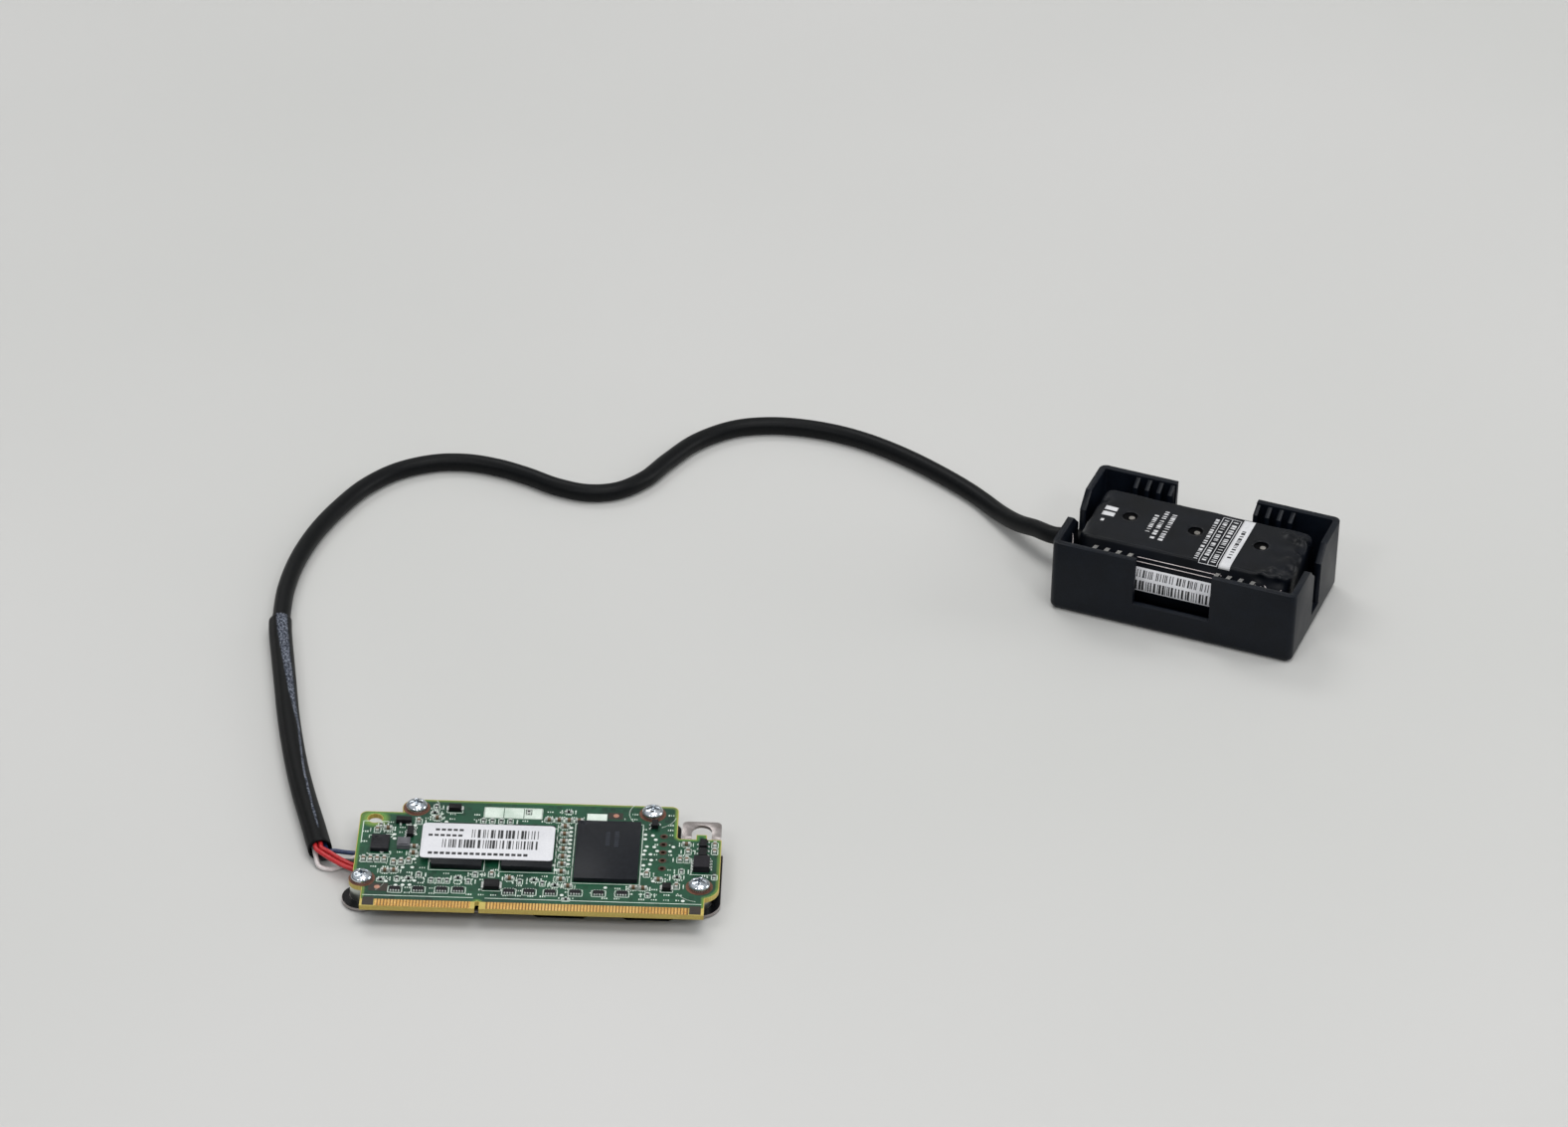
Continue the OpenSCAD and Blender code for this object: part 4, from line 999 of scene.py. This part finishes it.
def make_silkscreen():
    """White ink: boxes round the parts, arcs round the screws, plain blocks and short ticks."""
    low, high = BOARD_TOP + 0.004 * MM, BOARD_TOP + (MASK_T + 0.016) * MM
    ink = [ink_strokes(), ink_ticks(), rectangles(*np.transpose(WHITE_BOXES))]
    made = prisms("silkscreen", [(outlines, low, high) for outlines in ink])
    # screened ink: white with a breath of the green under it, and matt
    settle(made, plain("white epoxy ink", "#bccdbf", "#e4eee4", 0.25, 0.55))


def make_pads():
    """Tinned via caps, bare copper targets, dark windows in the mask, and the header's rings."""
    targets = [(46.4, 30.1), (2.9, 5.8)]
    # tin is pale and bright, bare copper is pinkish brown, and laminate under no mask is dark
    for name, outlines, rise, finish, slot in (
            ("via_caps", discs(VIAS, 0.36), 0.05,
             ("tinned via cap", "#ccd6cd", "#f2f6f0", 0.1, 0.35, 0.2), "zinc_steel"),
            ("copper_targets", discs(targets, 0.55, 20), 0.04,
             ("bare copper target", "#a5705a", "#c99580", 0.2, 0.4, 0.3), "bare_copper"),
            ("mask_windows", rectangles(*np.transpose(WINDOWS)), 0.022,
             ("dark window in the mask", "#1d1a14", "#33281c", 0.5, 0.5), "solder_mask")):
        made = prisms(name, [(outlines, BOARD_TOP + 0.002 * MM, BOARD_TOP + rise * MM)])
        settle(made, plain(*finish))
    section = [(0.4, -1.0), (0.44, -1.0), (0.46, -0.05), (0.75, -0.05), (0.75, 0.03), (0.4, 0.03)]
    places = [(HEADER_X, HEADER_Y + HEADER_PITCH * k) for k in range(5)]
    made = surface("header_rings", turned_rings(places, section), closed=True, ring=True,
                   smooth=False)
    # dark brown: copper tarnished in the air, with painted shade down the plated barrel
    settle(made, plain("tarnished copper ring with painted shade", "#2e2019", "#5d4334", 0.2, 0.5, 0.3))


def make_label_bars():
    """Plain black bars in two rows on the board's label, and short dashes under them.

    Each row's first and last place, front and back are shares of the label.
    """
    left, front, right, back = board_boxes("board_label")[0]
    wide, deep = right - left, back - front
    bars = []
    for first, last, y0, y1 in ((0.37, 0.88, 0.60, 0.84), (0.14, 0.88, 0.30, 0.54)):
        edges = left + wide * first + np.cumsum(rng.choice([0.14, 0.2, 0.34, 0.5], 90))
        x0, x1 = pairs(edges, left + wide * last).T
        bars.append(rectangles(x0, front + deep * y0, x1, front + deep * y1))
    dash, step = 0.8, 1.12
    for first, last, y0, y1 in ((0.10, 0.34, 0.78, 0.84), (0.05, 0.34, 0.62, 0.68),
                                (0.06, 0.84, 0.10, 0.17)):
        x = np.arange(left + wide * first, left + wide * last - 0.7, step)
        bars.append(rectangles(x, front + deep * y0, x + dash, front + deep * y1))
    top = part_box("board_label")[1][2]
    made = prisms("label_bars", [(b, top - 0.01 * MM, top + 0.012 * MM) for b in bars])
    # wax burnt onto the label: black and flat
    settle(made, plain("black thermal print", "#101012", "#26262a", 0.2, 0.5))


def make_chip_marks():
    """Faint marks left by a laser on the largest chip: a ring by its first pin and dashes."""
    left, front, _, back = board_boxes("flash_chip")[0]
    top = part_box("flash_chip")[1][2]
    rise = (top - BOARD_TOP) / MM
    section = [(0.3, rise), (0.3, rise + 0.006), (0.42, rise + 0.006), (0.42, rise)]
    ring = turned_rings([(left + 1.2, back - 1.2)], section)
    # burnt epoxy: a shade paler than the package and as dull
    grey = plain("laser-marked epoxy", "#25282f", "#3a3e47", 0.15, 0.5, specular=DULL)
    made = surface("pin_mark", ring, closed=True, ring=True, smooth=False)
    settle(made, grey)
    rows = []
    for x, y0, y1 in ((5.9, 10.4, 14.2), (7.6, 10, 14.4)):
        y = np.arange(front + y0, front + y1, 0.62)
        rows.append(rectangles(left + x - 0.4, y, left + x + 0.4, y + 0.34))
    made = prisms("laser_dashes", [(r, top - 0.01 * MM, top + 0.005 * MM) for r in rows])
    settle(made, grey)


def make_screws():
    """Pan heads on a polar grid: a low cylinder under a dome, sunk along two crossed slots.

    The dome is a power of a circle's height, and each slot is a trough whose sides and ends are
    steep logistic steps.
    """
    low, high = boxes_of("board_screws")
    centre = (low + high)[:, :2] / 2
    top, seat = high[0, 2], BOARD_TOP + 0.04 * MM
    radius, rim, slot_half, slot_reach, slot_depth = 2.0, 0.45, 0.27, 1.15, 0.75
    a = around(72)
    r = np.concatenate([np.linspace(0.02, 1.7, 40), [1.8, 1.88, 1.94, 1.98, 2.0, 2.0, 1.9]])
    height = (top - seat) / MM
    dome = rim + (height - rim) * np.sqrt(np.clip(1 - (r / (radius + 0.04)) ** 2, 0, 1)) ** 0.9
    dome[-2:] = [0.1, 0.0]
    u, v = r[:, None] * np.cos(a), r[:, None] * np.sin(a)
    z = np.repeat(dome[:, None], len(a), 1)
    for p, q in ((u, v), (v, u)):
        trough = (1 / (1 + np.exp((np.abs(q) - slot_half) / 0.035))
                  / (1 + np.exp((np.abs(p) - slot_reach) / 0.05)))
        z = z - np.minimum(slot_depth * trough, np.maximum(z - 0.6, 0))
        z = np.maximum(z, 0)
    grids = []
    for k, (x, y) in enumerate(centre):
        # each head came to rest at an angle of its own
        turn = 0.5 + 1.3 * k
        c, s = math.cos(turn), math.sin(turn)
        grids.append(np.stack([x + (c * u - s * v) * MM, y + (s * u + c * v) * MM,
                               seat + z * MM], -1)[:, ::-1])
    made = surface("screw_heads", grids, closed=True, ends=True)
    # bright zinc: bluish, nearly a mirror
    zinc = plain("blue zinc-plated steel", "#aab4be", "#dfe5ea", 0.25, 0.16, 1.0, depth=0.01)
    settle(made, zinc)
    # the shank below: the same zinc, duller for want of polish
    paint("board_screws", plain("zinc-plated steel shank", "#9aa0a6", "#c4c9ce", 0.3, 0.3, 1.0))


# ---------------------------------------------------------------- the pack's film and print

FLOOR = 1.4   # the tray's floor; the pack's sizes, like it, are in millimetres
PACK_END, PACK_TOP = 22.05, 13.85   # half its length, and its height
CELL, CELL_R = np.array([5.75, 6.1]), 6.1   # middle and radius of a cell
EDGE, EDGE_R = np.array([8.3, 13.05]), 0.8   # and of the round at the edge of the board above
HOLES = np.array([(-14.4, 0.8), (-0.6, 0.8), (13.2, 0.8)])   # middles of the punched holes
HOLE_R, FILM_T, LABEL_T, INK_T = 1.5, 0.3, 0.12, 0.015   # their radius, then how thick each is


def film_outline():
    """Half of the film's cross-section, from the middle of its top down to its underside.

    It is the line drawn tight round the board's edge and a cell, which are two circles. The
    first column is the way along it.
    """
    d = EDGE - CELL
    lean = math.atan2(d[1], d[0]) - math.acos((CELL_R - EDGE_R) / np.hypot(*d))
    flat = np.stack([np.linspace(0, EDGE[0], 60)[:-1], np.full(59, PACK_TOP)], -1)
    over = EDGE + EDGE_R * on_circle(np.linspace(math.pi / 2, lean, 24))
    down = CELL + CELL_R * on_circle(np.linspace(lean, -math.pi / 2, 120))
    line = np.concatenate([flat, over, down, [[0, 0]]])
    way = np.concatenate([[0], np.cumsum(np.linalg.norm(np.diff(line, axis=0), axis=1))])
    return np.column_stack([way, line])


OUTLINE = film_outline()
HALF_WAY = OUTLINE[-1, 0]


def smooth_step(low, high, value):
    """0 up to low, 1 from high on, and 3t^2 - 2t^3 between them."""
    t = np.clip((value - low) / (high - low), 0, 1)
    return t * t * (3 - 2 * t)


# Humps and hollows, most of them near the ends: place along and across the top, spread, height
PUCKERS = [
    (17.2, -6.6, 1.0, 0.5), (20.4, -5.4, 0.8, 0.75), (18.8, -5.0, 0.7, -0.4),
    (20.9, -2.2, 1.0, -0.5), (19.7, 1.4, 0.9, 0.35), (20.9, 4.2, 1.0, -0.5),
    (17.9, 6.4, 0.8, 0.45), (16.4, 8.2, 0.8, 0.35), (19.9, 8.4, 0.8, 0.45), (15.9, 9.6, 0.9, -0.2),
    (-20.6, 3.0, 1.6, -0.25), (-20.9, -5.0, 1.2, -0.3), (6.0, 9.4, 2.2, -0.15)]


def on_outline(way):
    """Across and up, the outline's point at that way from the middle of the top."""
    way = np.clip(way, 0, HALF_WAY)
    return [np.interp(way, OUTLINE[:, 0], OUTLINE[:, k]) for k in (1, 2)]


def on_film(x, way, lift=0.0, sway=1.0):
    """A point of the film, x along the pack and way across it from the middle of the top.

    The outline shrinks towards both ends. It is moved along its normal by a slow sway, by the
    puckers, each a bell exp(-r^2), and by lengthwise creases that deepen towards the ends.
    """
    x, way = np.broadcast_arrays(np.asarray(x, float), np.asarray(way, float))
    far, step = np.clip(np.abs(way), 0, HALF_WAY), 0.05
    y, z = on_outline(far)
    y0, z0 = on_outline(far - step)
    y1, z1 = on_outline(far + step)
    ny, nz = z0 - z1, y1 - y0
    size = np.maximum(np.hypot(ny, nz), 1e-9)
    ny, nz = ny / size, nz / size
    move = -0.05 * (1 + np.sin(x / 3.1 + way / 5.3)) - 0.03 * (1 + np.sin(x / 1.3 - way / 2.1))
    right, left = smooth_step(15, 21.5, x), smooth_step(-19.5, -22, x)
    move = move + right * (0.12 - 0.16 * (1 + np.sin(way * 1.45 + 0.5 * np.sin(x))))
    move = move - 0.16 * left * (1 + np.sin(way * 1.1 + 1))
    for at_x, at_way, spread, height in PUCKERS:
        move = move + height * np.exp(-((x - at_x) ** 2 + (way - at_way) ** 2) / spread ** 2)
    # it lies on the board and cells inside, on the tray's floor, and against the ribs
    move = np.maximum(move, -0.3 - 0.6 * smooth_step(19.9, 21, np.abs(x)))
    move = np.minimum(move, 0.6 * smooth_step(0.5, 0.9, nz)) * sway + lift
    ends = np.interp(x, [-PACK_END, -21.8, -21.2, -20.4, 20.4, 21.2, 21.7, PACK_END],
                     [0.86, 0.93, 0.98, 1, 1, 0.97, 0.92, 0.82])
    middle = PACK_TOP / 2
    y, z = y * ends, middle + (z - middle) * ends
    return in_tray(x, -np.sign(way) * (y + ny * move), FLOOR + z + nz * move)


def film_patches(name, spots, lift, sway=1.0):
    """Print or labels laid on the film: grids between two places along it and two across,
    each with its own number of steps, and with a thickness."""
    points, faces, base = [], [], 0
    for x0, x1, w0, w1, nx, nw in spots:
        x, way = np.meshgrid(np.linspace(x0, x1, nx + 1), np.linspace(w0, w1, nw + 1),
                             indexing="ij")
        points.append(on_film(x, way, lift, sway).reshape(-1, 3))
        faces.append(quads_of(base + np.arange(x.size).reshape(x.shape)).reshape(-1, 4))
        base += x.size
    made = piece(name, np.concatenate(points), np.concatenate(faces).tolist(), True)
    thicken(made, INK_T)
    return made


def make_pack_film():
    """The heat-shrunk film, with its three punched holes: faces inside a hole are left out and
    the points round it are drawn onto its rim."""
    x = np.concatenate([np.linspace(-PACK_END, -20.4, 10)[:-1], np.linspace(-20.4, 15, 118)[:-1],
                        np.linspace(15, PACK_END, 32)])
    way = np.linspace(-HALF_WAY, HALF_WAY, 240, endpoint=False)
    gx, gw = np.meshgrid(x, way, indexing="ij")
    places = HOLES * [1, -1]
    d = np.hypot(gx[..., None] - places[:, 0], gw[..., None] - places[:, 1])
    near, which = d.min(-1), d.argmin(-1)
    inside = near < HOLE_R
    after = np.roll(inside, -1, 1)
    gone = inside[:-1] | inside[1:] | after[:-1] | after[1:]
    rim = np.zeros(gx.shape, bool)
    for i in (0, 1):
        for j in (0, 1):
            rim[i:len(x) - 1 + i] |= np.roll(gone, j, 1)
    rim &= ~inside
    pull = np.where(rim, HOLE_R / np.maximum(near, 1e-6), 1)
    gx = places[which, 0] + (gx - places[which, 0]) * pull
    gw = places[which, 1] + (gw - places[which, 1]) * pull
    index = np.arange(gx.size).reshape(gx.shape)
    beyond = np.roll(index, -1, 1)
    quads = np.stack([index[:-1], beyond[:-1], beyond[1:], index[1:]], -1)[~gone]
    # each end closes on a point a little inside, so that the film's last fold turns in
    tips = in_tray([x[0] + 0.2, x[-1] - 0.5], 0, FLOOR + PACK_TOP / 2)
    points = np.concatenate([on_film(gx, gw).reshape(-1, 3), tips])
    first, last = gx.size, gx.size + 1
    fans = [[first, b, a] for a, b in zip(index[0], beyond[0])]
    fans += [[last, a, b] for a, b in zip(index[-1], beyond[-1])]
    made = piece("pack_film", points, quads.tolist() + fans, True)
    thicken(made, FILM_T)
    settle(made, film_material(), ["pack_sleeve"])


def film_material():
    """Heat-shrunk PVC film: near black, satin, faintly streaked round the pack where it drew
    tight."""
    made, tree, place = new_material("heat-shrunk vinyl film")
    drawn = add(tree, "Mapping", {"Vector": place, "Rotation": (0, 0, -TRAY_YAW),
                                  "Scale": (1, 0.25, 0.5)})
    streak = add(tree, "TexNoise", grain(drawn, 0.9, 4))
    wide = add(tree, "TexNoise", grain(place, 7, 2))
    tone = add(tree, "ValToRGB", {"Fac": wide}, stops=((0.3, "#05070b"), (0.7, "#0b0f17")))
    gloss = add(tree, "MapRange", {"Value": wide, "To Min": 0.3, "To Max": 0.44})
    rise = add(tree, "Bump", {"Height": streak, "Distance": 0.03 * MM, "Strength": 0.35})
    skin = add(tree, "BsdfPrincipled", {"Base Color": tone, "Roughness": gloss, "Normal": rise,
                                        "Specular IOR Level": DULL})
    add(tree, "OutputMaterial", {"Surface": skin})
    return made


def dashes(first, last):
    """Starts and stops of plain dashes of uneven length along a row."""
    return pairs(first + np.cumsum(rng.choice([0.22, 0.35, 0.5, 0.75], 120)), last)


def printed_row(low, high, first, last):
    """A row of dashes across the pack, between two places along it, as spots on the film."""
    return [(low, high, a, b, 1, max(1, int((b - a) / 0.3))) for a, b in dashes(first, last)]


def make_pack_ink():
    """Pale ink on the film: a solid block beside a ruled box with rows of dashes, rows of dashes
    further left, and two short bars over a dot."""
    x0, x1, w0, w1, line = 3.2, 7.1, -7.7, 9.4, 0.14
    ink = [(7.4, 9.8, -8.3, 9.6, 5, 40)]
    ink += [(x, x + line, w0, w1, 1, 40) for x in (x0, x1 - line, 5.1)]
    ink += [(x0, x1, w, w + line, 8, 1) for w in (w0, w1 - line)]
    for row in ((3.7, 4.6, w0 + 0.6, w1 - 0.4), (5.6, 6.6, w0 + 0.6, w1 - 0.4),
                (2.0, 2.8, -7.2, 9.0), (-6.6, -5.6, -4.8, 6.3), (-8.3, -7.4, -5.4, 6.4),
                (-9.9, -9.0, -3.6, 4.2)):
        ink += printed_row(*row)
    ink += [(-20.0, -17.4, -2.6, -1.2, 5, 4), (-20.0, -17.4, -0.6, 0.8, 5, 4),
            (-19.6, -18.9, 2.0, 2.8, 2, 2)]
    # screened ink: almost white, with a low sheen
    white = plain("pale printed ink", "#c9c9cc", "#dededf", 0.3, 0.45)
    settle(film_patches("pack_ink", ink, 0.03), white)


def make_pack_print():
    """Black dashes on the ink's solid block. On the label, in the tray's front window: a row of
    thin strokes in pairs over a row of upright bars, under two pale lines of painted highlight."""
    make_pack_ink()
    # ribbon print: black and flat
    black = plain("black printed bar", "#0c0c0e", "#1c1c20", 0.3, 0.5)
    marks = [(8.2, 9.0, a, b, 2, n) for _, _, a, b, _, n in printed_row(0, 1, -4.8, 6.6)]
    bars = pairs(np.cumsum(rng.choice([0.16, 0.26, 0.42], 80)) - 9.6, 7.6)

    def way_at(z):
        """The way along the film at which its side is that high."""
        return float(np.interp(-z, -OUTLINE[:, 2], OUTLINE[:, 0]))

    upright = [(a, b, way_at(7.7), way_at(5.7), 1, 6) for a, b in bars]
    row, thin = dashes(-9.4, 7.6), 0.18
    sides = [(a, a + thin) for a in row[:, 0]] + [(b - thin, b) for b in row[:, 1]]
    top = [(a, b, way_at(9.7), way_at(8.3), 1, 4) for a, b in sides]
    settle(film_patches("pack_bars", marks, 0.05), black)
    settle(film_patches("label_print", upright + top, LABEL_T + 0.02, 0), black)
    edge = [(-9.2, 8.4, way_at(z), way_at(z) + 0.14, 60, 1) for z in (11.9, 11.1)]
    # painted highlight: two pale lines where the light catches the film over the label
    shine = plain("painted highlight line", "#c3b6b7", "#f0e6e4", 0.8, 0.25)
    settle(film_patches("painted_highlight_lines", edge, 0.06), shine)


def make_rib_tips():
    """The tops of the front wall's ribs: wedges that fall from the wall's edge, with a painted
    highlight on the faces that look up.
    """
    section = np.array([(-14.25, 13.6), (-14.25, 15.96), (-12.2, 15.42), (-12.1, 13.6)])
    half, pitch = 0.44, 2.45
    places = [-9.7 - pitch * k for k in range(4)] + [8.45 + pitch * k for k in range(4)]
    grids = [np.stack([in_tray(x + side * half, *section.T) for side in (1, -1)])
             for x in places]
    made = surface("rib_tips", grids, closed=True, ends=True, smooth=False)
    # the tray's own nylon
    settle(made, plain("moulded black nylon, ribs", *NYLON, specular=DULL))
    # painted highlight: the faces that look up are a pale grey
    made.data.materials.append(plain("black nylon, painted highlight", "#4a4a4a", "#8a8884", 0.5, 0.45))
    normal = np.zeros(len(made.data.polygons) * 3)
    made.data.polygons.foreach_get("normal", normal)
    made.data.polygons.foreach_set("material_index", (normal[2::3] > 0.5).astype(np.int32))


# Slivers of tape, coloured pale as painted glints: their two ends in the tray's millimetres,
# and their width
GLINT_SLIVERS = [((15.3, -12.6, 15.2), (16.6, -13.4, 14.2), 0.5), ((16.9, -13.2, 14.0), (17.4, -12.6, 15.0), 0.3),
        ((18.0, -12.3, 15.1), (18.6, -13.3, 13.9), 0.32), ((19.2, -13.4, 14.2), (19.5, -12.7, 14.9), 0.3),
        ((20.2, -13.0, 15.0), (20.9, -13.4, 14.2), 0.4), ((21.2, -13.2, 14.7), (21.6, -12.4, 14.9), 0.3),
        ((-22.9, -10.0, 15.4), (-22.7, -11.0, 11.4), 0.25)]


def make_glint_slivers():
    """Slivers of clear tape that stand out between the pack and the tray, coloured pale as painted
    glints: blades whose middle bows by half a sine, narrower at both ends."""
    grids = []
    t = np.linspace(0, 1, 9)[:, None]
    for a, b, wide in GLINT_SLIVERS:
        path = a + t * np.subtract(b, a) + np.sin(math.pi * t) * [0.12, 0.1, 0.25]
        half = wide / 2 * (0.25 + np.sin(math.pi * t)) * [0.75, 0.1, 0.65]
        grids.append(in_tray(*np.moveaxis(np.stack([path - half, path + half], 1), -1, 0)))
    made = surface("painted_glint_slivers", grids)
    thicken(made, 0.06, 0)
    # painted glints: the clear tape is coloured pale all over, for the light its edges catch
    settle(made, plain("clear tape, painted glint", "#8f8788", "#e2d8d6", 0.4, 0.18))


def make_contact_ground():
    """The laminate between the gold contacts, left and right of the key notch, a hair above the
    board."""
    spans = rectangles([2.75, 23.45], 0.06, [20.55, 61.15], 2.2)
    made = prisms("contact_ground", [(spans, BOARD_TOP - 0.02 * MM, BOARD_TOP + 0.006 * MM)])
    # laminate stained by plating: brown, and as dull as the board's edge
    settle(made, plain("etched laminate", "#6a4a18", "#8a6727", 0.3, 0.5))


make_camera()
make_stage()
make_lights()
make_lead()
dress_solids()
make_mask()
make_small_parts()
make_silkscreen()
make_pads()
make_label_bars()
make_chip_marks()
make_screws()
make_contact_ground()
make_pack_film()
make_pack_print()
make_rib_tips()
make_glint_slivers()
